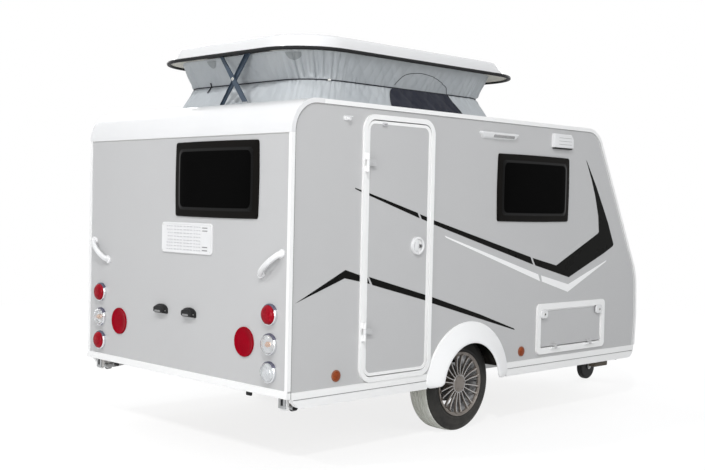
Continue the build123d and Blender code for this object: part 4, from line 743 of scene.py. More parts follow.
def canvasOutline(up):
    # a rounded rectangle whose sizes run straight from foot to waist and from waist to head
    ringX, ringY, bendX, bendY = canvasFrame
    rear, front, half, corner, height = canvasSize(up)
    return ((rear + front) / 2 + ringX * ((front - rear) / 2 - corner) + bendX * corner,
            ringY * (half - corner) + bendY * corner, height)


def canvasGrid():
    # the outline at each height, pushed in and out by folds: gathers, pleats, drags and billows added up
    ringX, ringY, bendX, bendY = canvasFrame
    up = np.linspace(0, 1, canvas["rows"])[:, None]
    x, y, height = canvasOutline(up)
    middle = canvas["rows"] // 2
    steps = np.hypot(x[middle] - np.roll(x[middle], 1), y[middle] - np.roll(y[middle], 1))
    turn = fullTurn * np.cumsum(steps) / steps.sum()
    seeded = np.random.default_rng(7)

    def waves(counts, slope=0.0):
        # sum of cosines around the ring, leaning by `slope` turns over the height
        total = sum(np.cos(count * turn + slope * count * up + seeded.uniform(0, fullTurn)) for count in counts)
        return total / len(counts) ** 0.5

    gather, slow, slant = waves((131, 149, 173, 199)), waves((3, 5, 7, 11)), waves((17, 23, 31), 0.11)
    # a pleat is a narrow valley: one less the steep root of a cosine's size
    pleats = sum(np.abs(np.cos(0.5 * count * turn + seeded.uniform(0, fullTurn))) ** 0.6
                 for count in (83, 109, 137)) - 2.1
    drags = (np.abs(np.cos(31 * turn + 9 * up + slow)) ** 0.8
             + np.abs(np.cos(43 * turn - 7 * up + 2 * slow)) ** 0.8 - 1.2)
    lower = up <= 0.5
    cornerness = np.clip(1.25 * (np.abs(bendX * bendY) * 2) ** 0.5, 0, 1)
    cornerness = np.convolve(np.r_[cornerness[-60:], cornerness, cornerness[:60]], np.ones(41) / 41, "same")[60:-60]
    halfway = np.sin(fullTurn * np.where(lower, up, 1 - up)) ** 2
    edge = np.clip(np.minimum(up * 5, 0.35 + (1 - up) * 3), 0, 1)
    beside = np.exp(-((up - 0.5) / 0.10) ** 2)
    # the cord holds every fold flat where it runs
    held = 1 - 0.86 * np.exp(-((up - 0.5) / 0.022) ** 2)
    fold = canvas["gather"] * gather * beside * (0.4 + 0.6 * cornerness)
    fold = fold + canvas["pleat"] * pleats * edge * cornerness * np.where(lower, 0.45, 1.0)
    fold = fold + canvas["pinch"] * drags * edge * (1 - 0.7 * cornerness) * np.where(lower, 0.45, 0.55)
    fold = fold + canvas["billow"] * (0.30 + 0.35 * slow) * halfway * np.where(lower, 0.4, -0.55)
    fold = fold + 0.0030 * slant * edge
    fold = fold * held
    return np.stack([x + fold * bendX, y + fold * bendY, height + np.zeros_like(x)], -1)


canvasPoints = canvasGrid()


def onCanvas(face, along, height, stand):
    # point on the folded cloth at a place along one face and a height, moved off it by `stand`
    along, height, stand = np.broadcast_arrays(*(np.asarray(value, float) for value in (along, height, stand)))
    foot, waist, head = (canvas[key][4] for key in ("foot", "waist", "head"))
    up = np.interp(height.ravel(), (foot, waist, head), (0.0, 0.5, 1.0))
    axis, facing = {"right": (0, -canvasFrame[3]), "left": (0, canvasFrame[3]), "rear": (1, -canvasFrame[2]),
                    "front": (1, canvasFrame[2])}[face]
    chosen = np.flatnonzero(facing > 0.02)
    column = np.empty(len(up))
    for index, (wanted, share) in enumerate(zip(along.ravel(), up)):
        ring = canvasOutline(share)[axis][chosen]
        order = np.argsort(ring)
        column[index] = np.interp(wanted, ring[order], chosen[order].astype(float))
    row = up * (canvas["rows"] - 1)
    lowRow = np.minimum(row.astype(int), canvas["rows"] - 2)
    lowColumn = np.minimum(column.astype(int), canvasPoints.shape[1] - 2)
    rowShare, columnShare = (row - lowRow)[:, None], (column - lowColumn)[:, None]
    a, b = canvasPoints[lowRow, lowColumn], canvasPoints[lowRow, lowColumn + 1]
    c, d = canvasPoints[lowRow + 1, lowColumn], canvasPoints[lowRow + 1, lowColumn + 1]
    place = (1 - rowShare) * ((1 - columnShare) * a + columnShare * b) + rowShare * ((1 - columnShare) * c
                                                                                   + columnShare * d)
    out = np.stack([canvasFrame[2][lowColumn], canvasFrame[3][lowColumn], np.zeros(len(up))], -1)
    return (place + stand.reshape(-1, 1) * out).reshape(along.shape + (3,))


def clothPatch(face, along, height, stand, thick=0.0012):
    # closed patch lying on the cloth, from matching arrays of places along and up the face
    top, bottom = onCanvas(face, along, height, stand), onCanvas(face, along, height, stand - thick)
    rows, columns = along.shape
    quads = gridFaces(rows, columns, False, False)
    back = quads[:, ::-1] + rows * columns
    index = np.arange(rows * columns).reshape(rows, columns)
    edge = np.concatenate([index[0], index[1:, -1], index[-1, -2::-1], index[-2:0:-1, 0]])
    rim = np.stack([edge, edge + rows * columns, np.roll(edge, -1) + rows * columns, np.roll(edge, -1)], -1)
    points = np.concatenate([top.reshape(-1, 3), bottom.reshape(-1, 3)])
    return points, np.concatenate([quads, back, rim]), []


def clothLine(face, along, height, radius, stand):
    # cord or seam along the cloth
    path = onCanvas(face, along, height, stand)
    return carried(path, circle(radius, 8), up={"right": (0, -1, 0), "left": (0, 1, 0)}.get(face, (-1, 0, 0)))


# the net window is widest at the cord, and its dark front seam runs on to the foot
netWindow = {
    "rearTop": 1.125, "frontTop": 1.637, "bulge": 0.052, "rearFoot": 1.082, "frontFoot": 1.766, "top": 2.140,
    "foot": 1.990, "seam": ((1.134, 2.159), (1.168, 2.199), (1.228, 2.232), (1.336, 2.247), (1.452, 2.238),
                            (1.556, 2.212), (1.615, 2.184), (1.637, 2.144)),
}


def makeCanvas():
    # the cloth, then its cord, net windows, seams, grey half-discs, toggle and buckle laid on it
    grid = canvasPoints.copy()
    points, quads, _ = gridShape(grid, caps=False)
    closing = np.linalg.norm(np.diff(np.concatenate([grid[0], grid[0][:1]]), axis=0), axis=1)
    around = np.concatenate([[0], np.cumsum(closing)[:-1]])
    uv = np.stack([np.tile(around, len(grid)), np.repeat(np.linspace(0, canvas["flat"][1], len(grid)),
                                                         grid.shape[1])], -1)
    cloth = makePiece("tentCanvas", [(placed((points, quads, []), onRoof), "canvasCloth")], "caravan",
                      recalc=True, sharp=80, uv=uv)
    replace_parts(cloth, "canvas")
    thickness = cloth.modifiers.new("cloth", "SOLIDIFY")
    thickness.thickness, thickness.offset = 0.0012, -1.0
    cord = grid[canvas["rows"] // 2]
    outward = np.stack([canvasFrame[2], canvasFrame[3], np.zeros(len(cord))], -1)
    ring = carried(cord + outward * 0.0040, circle(0.0036, 8), closed=True)
    parts = [(placed(ring, onRoof), "darkCord")]
    for face in ("right", "left"):
        share, drop = np.meshgrid(np.linspace(0, 1, 76), np.linspace(0, 1, 26))
        rearEdge = (netWindow["rearTop"] + (netWindow["rearFoot"] - netWindow["rearTop"]) * drop
                    - netWindow["bulge"] * np.sin(math.pi * drop ** 0.7) * 0.6)
        frontEdge = netWindow["frontTop"] + (netWindow["frontFoot"] - netWindow["frontTop"]) * drop ** 1.05
        along = rearEdge + (frontEdge - rearEdge) * share
        height = netWindow["top"] + (netWindow["foot"] - netWindow["top"]) * drop
        # the net hangs in slanting creases
        crease = 0.0022 * np.abs(np.sin(30 * along + 44 * height)) + 0.0014 * np.abs(np.sin(53 * along + 71 * height))
        parts.append((placed(clothPatch(face, along, height, 0.0040 + crease * np.sin(math.pi * drop) ** 0.5), onRoof),
                      "netCloth"))
        seam = smoothPath(netWindow["seam"], 90)
        parts.append((placed(clothLine(face, seam[:, 0], seam[:, 1], 0.0017, 0.0018), onRoof), "darkCord"))
        parts.append((placed(clothLine(face, frontEdge[:, -1], height[:, -1], 0.0042, 0.0050), onRoof), "darkCord"))
        parts.append((placed(clothLine(face, rearEdge[:, 0], height[:, 0], 0.0016, 0.0045), onRoof), "darkCord"))
    # grey half-discs under the rim, and the cord's toggle at the rear
    for middle in canvas["greyHalfDiscs"]:
        turn, reach = np.meshgrid(np.linspace(math.pi, fullTurn, 29), np.linspace(0.002, 0.044, 10))
        patch = clothPatch("rear", middle + reach * np.cos(turn), canvas["greyHalfDiscZ"] + reach * np.sin(turn), 0.0040)
        parts.append((placed(patch, onRoof), "greyCloth"))
    toggle = smoothPath(canvas["toggle"], 24)
    parts.append((placed(clothLine("rear", toggle[:, 0], toggle[:, 1], 0.0042, 0.006), onRoof), "darkCord"))
    trim = makePiece("canvasTrim", parts, "caravan")
    buckle = roundSlab(0.018, 0.013, 0.004, 0.006, 0.002)
    at = onCanvas("right", canvas["buckle"], canvas["waist"][4], 0.0075)
    place = facingPlane(at, (0.8, -0.6, 0), (0, 0, 1), (-0.6, -0.8, 0))
    clip = makePiece("cordBuckle", [(placed(placed(buckle, place), onRoof), "zincBright")], "caravan")
    for soft in (cloth, trim, clip):
        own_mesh(soft)


makeCanvas()
print("lid and canvas made")


# scissor arms are pressed channels, wider at the foot; places in metres from the rear wall
scissor = {
    "low": (-0.21313, 2.000), "angle": 50.6, "length": 0.40373, "middleY": -0.085, "middleZ": 2.15599,
    "widths": (0.034, 0.035, 0.031, 0.025, 0.022), "sheet": 0.0025, "deep": 0.0125,
    "rearFace": 0.312, "frontFace": 2.327, "gap": 0.0145,
}


def channelArm(slope, face, inward, lip):
    # along the arm: half width from the table, a folded lip along each long edge, ends rounded off
    along = np.linspace(-0.5, 0.5, 41)
    table = np.linspace(-0.5, 0.5, len(scissor["widths"]))
    half = np.interp(along, table, scissor["widths"]) / 2
    reach = (scissor["length"] / 2 + 0.012)
    ends = np.clip((reach - np.abs(along) * 2 * reach) / 0.014, 0, 1)
    half = half * np.sqrt(np.maximum(1 - (1 - ends) ** 2, 0.02))
    lips = lip * np.clip(ends, 0.25, 1)
    sheet = scissor["sheet"]
    across = np.stack([-half, -half, -half + sheet, -half + sheet, half - sheet, half - sheet, half, half], -1)
    depth = np.stack([0 * lips, lips, lips, 0 * lips + sheet, 0 * lips + sheet, lips, lips, 0 * lips], -1)
    run = np.repeat((along * 2 * reach)[:, None], 8, 1)
    cosine, sine = math.cos(slope), math.sin(slope)
    y = scissor["middleY"] + run * cosine - across * sine
    z = scissor["middleZ"] + run * sine + across * cosine
    x = face + inward * depth
    return gridShape(np.stack([x, y, z], -1))


def bolt(centre, out, radius, high, sides=6):
    # washer, hexagon head and a small dome, standing on a face
    first = np.cross(out, (0.3, 0.5, 0.8)) if abs(out[0]) > 0.5 else np.cross(out, (1, 0, 0))
    first = first / np.linalg.norm(first)
    place = facingPlane(centre, first, np.cross(out, first), out)
    washer = turned(((radius * 1.45, 0), (radius * 1.45, high * 0.22), (radius * 1.35, high * 0.28),
                     (0.0004, high * 0.28)), 28)
    head = turned(((radius, 0), (radius, high * 0.8), (radius * 0.86, high * 0.95), (radius * 0.4, high),
                   (0.0003, high)), sides)
    return [placed(washer, place), placed(head, place)]


def makeScissors():
    # one crossing pair at each end of the lid, the inner arm turned the other way
    slope = math.radians(scissor["angle"])
    hinged, crossing, feet = [], [], []
    for face, inward in ((scissor["rearFace"], 1), (scissor["frontFace"], -1)):
        hinged.append((placed(channelArm(slope, face, inward, 0.0085), onRoof), "scissorSteel"))
        inner = face + inward * 0.0225
        crossing.append((placed(channelArm(-slope, inner, -inward, 0.0125), onRoof), "scissorSteel"))
        outer = np.array([rearX + face, scissor["middleY"], scissor["middleZ"]])
        hinged += [(shape, "zincBright") for shape in bolt(outer, (-inward, 0, 0), 0.0075, 0.008)]
        spacer = turned(((0.006, 0.0), (0.006, 0.014), (0.0003, 0.014)), 20)
        place = facingPlane(outer, (0, 1, 0), (0, 0, 1), (inward, 0, 0))
        hinged.append((placed(spacer, place), "zincBright"))
        low = np.array([rearX + face, scissor["low"][0], scissor["low"][1]])
        feet += [(shape, "zincBright") for shape in bolt(low, (-inward, 0, 0), 0.006, 0.006)]
    piece = makePiece("scissorArmsHinged", hinged, "scissor_hinged", sharp=30)
    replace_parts(piece, "scissor_arms_hinged")
    piece = makePiece("scissorArmsCrossing", crossing, "scissor_crossing", sharp=30)
    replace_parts(piece, "scissor_arms_crossing")
    makePiece("scissorFootBolts", feet, "caravan", sharp=30)


makeScissors()


# station and height of the axis, then across the tyre from its inner wall
wheel = {
    "station": 1.497, "height": 0.299, "inner": 0.750, "radius": 0.299, "tread": (0.030, 0.155),
    "grooves": (0.0600, 0.0925, 0.1250), "grooveHalf": 0.0042, "grooveDeep": 0.0075, "columns": 540,
    "spokes": 20, "hub": 0.050, "reach": 0.1860,
}


def wheelPlace(side):
    # local axes: forward, up, outwards from the tyre's inner wall
    return facingPlane((rearX + wheel["station"], side * wheel["inner"], wheel["height"]), (1, 0, 0), (0, 0, 1),
                       (0, side, 0))


def tyreShapes():
    # section from the inner bead over the tread to the outer bead; heights here are across the tyre
    low, high = wheel["tread"]
    side = [(0.190, 0.018), (0.197, 0.010), (0.212, 0.0025), (0.236, 0.0), (0.256, 0.003), (0.274, 0.010),
            (0.2865, 0.0185), (0.2935, 0.0245)]
    across = np.linspace(low, high, 61)
    crown = wheel["radius"] - 0.0028 * ((across - 0.0925) / 0.0625) ** 2
    for groove in wheel["grooves"]:
        crown = crown - wheel["grooveDeep"] * (np.abs(across - groove) < wheel["grooveHalf"])
    tread = np.stack([crown, across], -1)
    other = [(0.2935, 0.1605), (0.2865, 0.1665), (0.276, 0.1735), (0.262, 0.1805), (0.2595, 0.1822),
             (0.2585, 0.1810), (0.254, 0.1825), (0.238, 0.1850), (0.222, 0.1848), (0.2205, 0.1860),
             (0.2190, 0.1846), (0.213, 0.1825), (0.2065, 0.1790), (0.2035, 0.1790), (0.2020, 0.1755),
             (0.197, 0.1720), (0.190, 0.1670)]
    inside = [(0.188, 0.150), (0.188, 0.035)]
    columns = wheel["columns"]
    angle = np.linspace(0, fullTurn, columns, endpoint=False)

    def sweep(profile, cut=None):
        profile = np.asarray(profile, float)
        radius = np.repeat(profile[:, :1], columns, 1)
        if cut is not None:
            radius = radius - cut
        return np.stack([radius * np.cos(angle), radius * np.sin(angle), np.repeat(profile[:, 1:], columns, 1)], -1)

    # sipes: every sixth column is sunk on the ribs, in the outer ribs longer ones slant across
    onRib = (crown > wheel["radius"] - 0.0045).astype(float)[:, None]
    shift = np.round((across - 0.0925) * 260).astype(int)[:, None]
    sipe = ((np.arange(columns)[None] + shift) % 6 == 0) * 0.0022 * onRib
    sipe[:2] = sipe[-2:] = 0
    treadGrid = sweep(tread, sipe)
    treadEnds = np.concatenate([sweep(side[-1:]), treadGrid, sweep(other[:1])])
    wallGrid = np.concatenate([sweep(other), sweep(inside), sweep(side)])
    return gridShape(treadEnds, caps=False), gridShape(wallGrid, caps=False)


def spokeShapes():
    # straight blades from the hub to the lip, two and two leaning together, each with a lighter ridge that is a
    # machined face and partly a painted highlight
    blades, highlightRidges = [], []
    along = np.linspace(0, 1, 13)
    radius = wheel["hub"] + (wheel["reach"] - wheel["hub"]) * along
    depth = 0.1700 - 0.0060 * np.sin(math.pi * along) + 0.002 * along
    for index in range(wheel["spokes"]):
        lean = 1 if index % 2 else -1
        angle = fullTurn * (index + 0.5) / wheel["spokes"] - lean * 0.030 * along + 0.012 * np.sin(math.pi * along)
        path = np.stack([radius * np.cos(angle), radius * np.sin(angle), depth], -1)
        wide = 0.0040 + 0.0012 * along + 0.0050 * np.clip((along - 0.86) / 0.14, 0, 1) ** 2
        blades.append(carried(path, roundOutline(2.0, 3.4, 0.5, 0.0, 4, 1), up=(0, 0, 1), scale=wide))
        # the lighter ridge stands partly for the blade's highlight: painted highlight
        highlightRidge = path[:-1] + np.array((0, 0, 1.0)) * (1.7 * wide[:-1, None])
        highlightRidges.append(carried(highlightRidge, roundOutline(0.0034, 0.0018, 0.0008, 0.0, 3, 1), up=(0, 0, 1)))
    return blades, highlightRidges


def makeWheel(name, side):
    # tyre, then rim: every ring is a profile turned about the axis
    place, body = wheelPlace(side), f"wheel_{name}_body"
    tread, walls = tyreShapes()
    tyre = makePiece(f"tyre{name.title()}", [(placed(walls, place), "tyreRubber"), (placed(tread, place), "treadDustAndPaintedLight")],
                     body, sharp=40)
    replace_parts(tyre, f"tyre_{name}")
    # rim barrel as a closed band: outer lip, face ring, bright well, back edge and round under the tyre
    lip = ((0.1965, 0.1700), (0.2010, 0.1765), (0.2030, 0.1825), (0.2022, 0.1852), (0.1995, 0.1862),
           (0.1965, 0.1850), (0.1945, 0.1822), (0.1860, 0.1812), (0.1838, 0.1795), (0.1825, 0.1750), (0.1835, 0.1690))
    well = ((0.1835, 0.1690), (0.1815, 0.1600), (0.1770, 0.1480), (0.1720, 0.1330), (0.1700, 0.1150),
            (0.1700, 0.0550), (0.1760, 0.0300), (0.1850, 0.0150), (0.1960, 0.0100), (0.1990, 0.0060),
            (0.2010, 0.0080), (0.2010, 0.0130), (0.1900, 0.0190), (0.1810, 0.0400), (0.1760, 0.0700),
            (0.1760, 0.1180), (0.1800, 0.1400), (0.1880, 0.1640), (0.1965, 0.1700))
    cap = ((0.0560, 0.0700), (0.0600, 0.1560), (0.0600, 0.1740), (0.0585, 0.1775), (0.0560, 0.1785),
           (0.0545, 0.1770), (0.0535, 0.1770), (0.0500, 0.1830), (0.0350, 0.1868), (0.0004, 0.1880))
    ring = ((0.0535, 0.1765), (0.0562, 0.1792), (0.0548, 0.1806), (0.0524, 0.1796), (0.0535, 0.1765))
    drum = ((0.1180, 0.0050), (0.1230, 0.0120), (0.1230, 0.0700), (0.1190, 0.0780), (0.0700, 0.0790),
            (0.0680, 0.0900), (0.0004, 0.0900))
    blades, highlightRidges = spokeShapes()
    parts = [(turned(lip, 96), "alloyDark"), (turned(well, 96), "alloyBright"), (turned(ring, 64), "alloyBright"),
             (turned(cap, 64), "alloyDark"), (turned(drum, 64), "hitchBlack")]
    parts = [((shape[0], shape[1], [] if k < 3 else shape[2]), look) for k, (shape, look) in enumerate(parts)]
    parts += [(shape, "alloyDark") for shape in blades] + [(shape, "alloyBright") for shape in highlightRidges]
    for index in range(5):
        turn = fullTurn * index / 5 + 0.3
        centre = np.array((0.038 * math.cos(turn), 0.038 * math.sin(turn), 0.1835))
        socket = turned(((0.0052, 0.0), (0.0052, 0.0042), (0.0036, 0.0042), (0.0034, 0.0020), (0.0003, 0.0020)), 18)
        parts.append((moved(socket, centre), "alloyDark"))
    valve = carried(np.array([(0.176, 0.0, 0.150), (0.172, 0.0, 0.163), (0.170, 0.0, 0.176)]), circle(0.0036, 12),
                    up=(0, 1, 0))
    parts.append((valve, "blackPlastic"))
    rim = makePiece(f"rim{name.title()}", [(placed(shape, place), look) for shape, look in parts], body,
                    sharp=35)
    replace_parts(rim, f"wheel_rim_{name}")


# moulded arch: radius from the wheel's axis and height over the wall, out over the lip and back behind it
spat = {
    "section": ((0.3560, 0.0), (0.4000, 0.0), (0.4000, 0.0060), (0.3970, 0.0100), (0.3900, 0.0118), (0.3800, 0.0150),
                (0.3500, 0.0250), (0.3200, 0.0345), (0.3000, 0.0405), (0.2850, 0.0438), (0.2760, 0.0445),
                (0.2700, 0.0430), (0.2675, 0.0400), (0.2680, 0.0350), (0.2730, 0.0345), (0.2860, 0.0368),
                (0.3200, 0.0275), (0.3450, 0.0120)),
    "foot": 0.045, "toe": 0.042,
}


def makeSpats():
    # the section swept around the wheel's axis: radius times cosine and sine of an angle from foot to foot
    parts = []
    section = np.array(spat["section"])
    for side in (-1, 1):
        place = facingPlane((rearX + wheel["station"], side * sideY, wheel["height"]), (1, 0, 0), (0, 0, 1),
                            (0, side, 0))
        # both ends stop at one level, a little above the axis
        rise = np.arcsin(spat["foot"] * 0.4 / section[:, 0])
        share = np.concatenate([np.linspace(0, 0.045, 10)[:-1], np.linspace(0.045, 0.955, 81),
                                np.linspace(0.955, 1, 10)[1:]])[:, None]
        angle = rise + share * (math.pi - 2 * rise)
        # each foot is rounded off: the moulding narrows along a quarter circle over its last part
        toEnd = np.minimum(share, 1 - share) * math.pi * 0.34 / spat["toe"]
        narrow = np.sqrt(1 - (1 - np.clip(toEnd, 0, 1)) ** 2) * 0.62 + 0.38
        radius = 0.334 + (section[:, 0] - 0.334) * narrow
        grid = np.stack([radius * np.cos(angle), radius * np.sin(angle),
                         section[:, 1] * (0.25 + 0.75 * narrow)], -1)
        parts.append((placed(gridShape(grid), place), "spatWhite"))
    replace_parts(makePiece("wheelSpats", parts, "caravan", sharp=35), "wheel_arches")


makeSpats()
makeWheel("right", -1)
makeWheel("left", 1)
print("scissors and wheels made")


# windows are dark acrylic, barrel-sided, with a raised field inside a flat border
pane = {
    # inset and height over the wall, from the hidden foot to the middle
    "levels": ((0.000, -0.012), (0.000, 0.0045), (0.0012, 0.0075), (0.0040, 0.0095), (0.0100, 0.0102),
               (0.0340, 0.0104), (0.0400, 0.0112), (0.0470, 0.0140), (0.0560, 0.0160), (0.0700, 0.0170),
               (0.1100, 0.0178), (0.1700, 0.0182)),
    "corner": 0.014, "bow": 0.006, "bevelRows": (6, 8), "cornerSteps": 9, "sideSteps": 16,
    "side": ((1.743, 1.322), (2.536, 1.762)), "rear": ((-0.735, 1.321), (0.037, 1.759)),
    "front": (1.150, 0.430),
}


def windowShape(width, height):
    # each edge bows out by a parabola: bow times one less the square of the place along it
    bow = pane["bow"]

    def outlineAt(inset):
        outline = roundOutline(width - 2 * bow, height - bow, pane["corner"] + inset * 1.35, inset,
                               pane["cornerSteps"], pane["sideSteps"])
        across, up = outline[:, 0] / (width / 2), outline[:, 1] / (height / 2)
        return outline + np.stack([bow * across * (1 - up ** 2), 0.5 * bow * up * (1 - across ** 2)], -1)

    return slab(outlineAt, pane["levels"])


def windowParts(width, height, place):
    # border, bevel and field are rows of one shape, so each finish takes its own run of quads
    points, quads, ends = placed(windowShape(width, height), place)
    columns = 4 * (pane["cornerSteps"] + pane["sideSteps"] - 1)
    low, high = (columns * row for row in pane["bevelRows"])
    return [((points, quads[:low], ends[:1]), "windowEdge"), ((points, quads[low:high], []), "windowBevel"),
            ((points, quads[high:], ends[1:]), "windowPane")]


def makeWindows():
    # two on the sides, one behind and one on the sloping front
    parts = []
    (low, foot), (high, top) = pane["side"]
    middle = ((low + high) / 2, (foot + top) / 2, 0)
    for side in (-1, 1):
        parts += windowParts(high - low, top - foot, lambda points, side=side: onSide(side)(points + middle))
    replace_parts(makePiece("sideWindows", parts, "caravan", sharp=60), "side_windows")
    (low, foot), (high, top) = pane["rear"]
    middle = ((low + high) / 2, (foot + top) / 2, 0)
    parts = windowParts(high - low, top - foot, lambda points: onRear(points + middle))
    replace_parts(makePiece("rearWindow", parts, "caravan", sharp=60), "rear_window")
    parts = windowParts(*pane["front"], slopePlace)
    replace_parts(makePiece("frontWindow", parts, "caravan", sharp=60), "front_window")


# the sloping front: from the brow down to the breast
slopeTop, slopeFoot = np.array((2.887, 0, 1.978)), np.array((3.4456, 0, 0.937))
slopeDown = (slopeFoot - slopeTop) / np.linalg.norm(slopeFoot - slopeTop)
slopeOut = np.array((-slopeDown[2], 0, slopeDown[0]))
slopeMiddle = slopeTop + slopeDown * 0.480 + np.array((rearX, 0, 0))
slopePlace = facingPlane(slopeMiddle, (0, 1, 0), -slopeDown, slopeOut)
makeWindows()


# thin film on the side walls in millimetres (forward, up), cut where the door frame stands
stripes = {
    "thick": 0.0004,
    "black": (
        ((472, 1508), (700, 1449), (991, 1372), (1009, 1340), (585, 1465), (476, 1500)),
        ((1010, 1365), (1139, 1330), (2121, 1089), (2153, 1037), (1140, 1304), (1027, 1336)),
        ((2143, 1083), (2417, 1026), (2922, 1244), (2929, 1256), (2916, 1367), (2874, 1500), (2820, 1622),
         (2744, 1759), (2755, 1751), (2886, 1571), (3044, 1323), (3126, 1165), (3119, 1149), (3006, 1101),
         (2569, 940), (2176, 1032)),
        ((45, 882), (412, 1051), (583, 1001), (601, 966), (507, 985), (407, 1004)),
        ((592, 1007), (1067, 886), (1133, 870), (1600, 738), (1960, 624), (1968, 613), (1590, 712), (1134, 832),
         (1068, 852), (622, 959)),
    ),
    "white": (
        ((1245, 1236), (2212, 971), (2235, 924), (1259, 1223)),
        ((2245, 963), (2563, 892), (3038, 1048), (3029, 1037), (2561, 839), (2256, 921)),
    ),
    "behind": 524.0, "leaf": (579.5, 1074.5), "ahead": 1130.0, "leafStand": 0.0052,
}


def clipped(outline, edge, keepBelow):
    # a polygon's part on one side of a vertical line, walking round its corners
    kept = []
    for first, second in zip(outline, outline[1:] + outline[:1]):
        inFirst, inSecond = ((point[0] < edge) == keepBelow for point in (first, second))
        if inFirst:
            kept.append(first)
        if inFirst != inSecond:
            share = (edge - first[0]) / (second[0] - first[0])
            kept.append((edge, first[1] + share * (second[1] - first[1])))
    return kept


def filmShape(outline, place):
    # flat polygon with a small thickness
    flat = np.array(outline, float) / 1000
    levels = [np.concatenate([flat, np.full((len(flat), 1), depth)], 1) for depth in (0.00005, stripes["thick"])]
    return placed(gridShape(np.stack(levels)), place)


def makeStripes():
    # the door leaf takes its own cut of each film, and the gap round it stays bare
    onWall, onLeaf = [], []
    rearEdge, (leafRear, leafFront), frontEdge = stripes["behind"], stripes["leaf"], stripes["ahead"]
    for colour, look in (("black", "blackFilm"), ("white", "whiteFilm")):
        for outline in map(list, stripes[colour]):
            onWall.append((filmShape(outline, onSide(1)), look))
            pieces = [(clipped(outline, rearEdge, True), onWall, 0.0),
                      (clipped(outline, frontEdge, False), onWall, 0.0),
                      (clipped(clipped(outline, leafRear, False), leafFront, True), onLeaf, stripes["leafStand"])]
            for part, target, stand in pieces:
                if len(part) > 2:
                    target.append((filmShape(part, onSide(-1, stand)), look))
    makePiece("wallStripes", onWall, "caravan", sharp=30)
    makePiece("doorStripes", onLeaf, "door", sharp=30)


makeStripes()
print("windows and stripes made")


# rear wall: across to +Y and up, in metres; the grille is left, right, foot and top
rearFit = {
    "lampY": 0.848, "lampZ": (0.813, 0.653, 0.502), "reflectorY": 0.630, "reflectorZ": 0.644,
    "plateY": (0.166, -0.118), "plateZ": 0.763,
    "grille": (-0.327, 0.169, 1.106, 1.287), "handleLow": (0.770, 1.0275), "handleHigh": (0.930, 1.1430),
}


def lampShapes(kind, seed):
    # flared bezel, bowl, bulb and a domed lens; depths run outwards from the wall
    bezel = turned(((0.0500, 0.0), (0.0600, 0.0), (0.0604, 0.0040), (0.0596, 0.0110), (0.0572, 0.0170),
                    (0.0545, 0.0186), (0.0525, 0.0180), (0.0505, 0.0100), (0.0500, 0.0)), 60)
    # the upper third of the bezel takes a dark bluish chrome, a painted dark reflection, the rest bright
    middle = bezel[0].reshape(9, 60, 3)[:, :, 1].mean(0)
    darkReflectionMask = (middle > 0.030)[bezel[1][:, 0] % 60]
    upper, rest = bezel[1][darkReflectionMask], bezel[1][~darkReflectionMask]
    bezels = [((bezel[0], upper, []), "chromeDarkPaintedReflection"), ((bezel[0], rest, []), "chrome")]
    lens = ((0.0520, 0.0085), (0.0525, 0.0200), (0.0505, 0.0258), (0.0450, 0.0312), (0.0350, 0.0355),
            (0.0220, 0.0382), (0.0100, 0.0392), (0.0004, 0.0394))
    if kind == "red":
        face = turned(lens[:-1] + ((0.0004, 0.0393),), 56)
        ring = turned(((0.0300, 0.0300), (0.0312, 0.0372), (0.0296, 0.0380), (0.0285, 0.0380), (0.0285, 0.0300),
                       (0.0300, 0.0300)), 40)
        return bezels + [(face, "redLens"), ((ring[0], ring[1], []), "redLens")]
    inner = tuple((radius * 0.955, depth - 0.0018) for radius, depth in lens[::-1])
    shell = turned(lens + inner + (lens[0],), 56)
    bowl = turned(((0.0490, 0.0110), (0.0440, 0.0065), (0.0300, 0.0030), (0.0100, 0.0022), (0.0004, 0.0022),
                   (0.0004, 0.0012), (0.0490, 0.0012), (0.0490, 0.0110)), 48)
    centre = {"amber": "bulbAmber", "rose": "bulbAmber"}.get(kind, "bowlWhite")
    bulb = turned(((0.0130, 0.0025), (0.0150, 0.0080), (0.0150, 0.0200), (0.0110, 0.0265), (0.0004, 0.0290)), 32)
    facets = []
    for index in range(9):
        turn = fullTurn * index / 9 + seed
        rib = carried(np.array([(0.017, 0, 0.0050), (0.031, 0, 0.0075), (0.046, 0, 0.0130)])
                      @ np.array([(math.cos(turn), math.sin(turn), 0), (-math.sin(turn), math.cos(turn), 0),
                                  (0, 0, 1)]), circle(0.0022, 6), up=(0, 0, 1))
        facets.append((rib, "bowlWhite"))
    return bezels + [((shell[0], shell[1], []), "clearLens"), ((bowl[0], bowl[1], []), "bowlWhite"),
                     (bulb, centre)] + facets


def makeRearLights():
    # three round lamps one above another at each corner, and a low domed reflector beside them
    kinds = {-1: ("red", "amber", "clear"), 1: ("red", "rose", "red")}
    parts = []
    for side, column in kinds.items():
        for kind, height in zip(column, rearFit["lampZ"]):
            parts += fitted(lampShapes(kind, 0.2 * side), (side * rearFit["lampY"], height, 0), onRear)
    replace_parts(makePiece("rearLamps", parts, "caravan", sharp=35), "rear_lamps")
    parts = []
    disc = ((0.0830, 0.0), (0.0830, 0.0062), (0.0818, 0.0080), (0.0795, 0.0084), (0.0782, 0.0076),
            (0.0400, 0.0080), (0.0004, 0.0082))
    for side in (-1, 1):
        offset = (side * rearFit["reflectorY"], rearFit["reflectorZ"], 0)
        parts += fitted([(turned(disc, 72), "reflectorRed")], offset, onRear)
    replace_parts(makePiece("rearReflectors", parts, "caravan", sharp=35), "rear_reflectors")


def archOutline(wide, high, inset):
    # flat foot, arched top
    half, foot = wide / 2 - inset, -high / 2 + inset
    turn = np.linspace(0, math.pi, 25)
    arch = np.stack([half * np.cos(turn), foot + 0.42 * high + (0.58 * high - 2 * inset) * np.sin(turn)], -1)
    return np.concatenate([[(half - 0.004, foot), (half, foot + 0.004)], arch, [(-half, foot + 0.004),
                                                                              (-half + 0.004, foot)]])


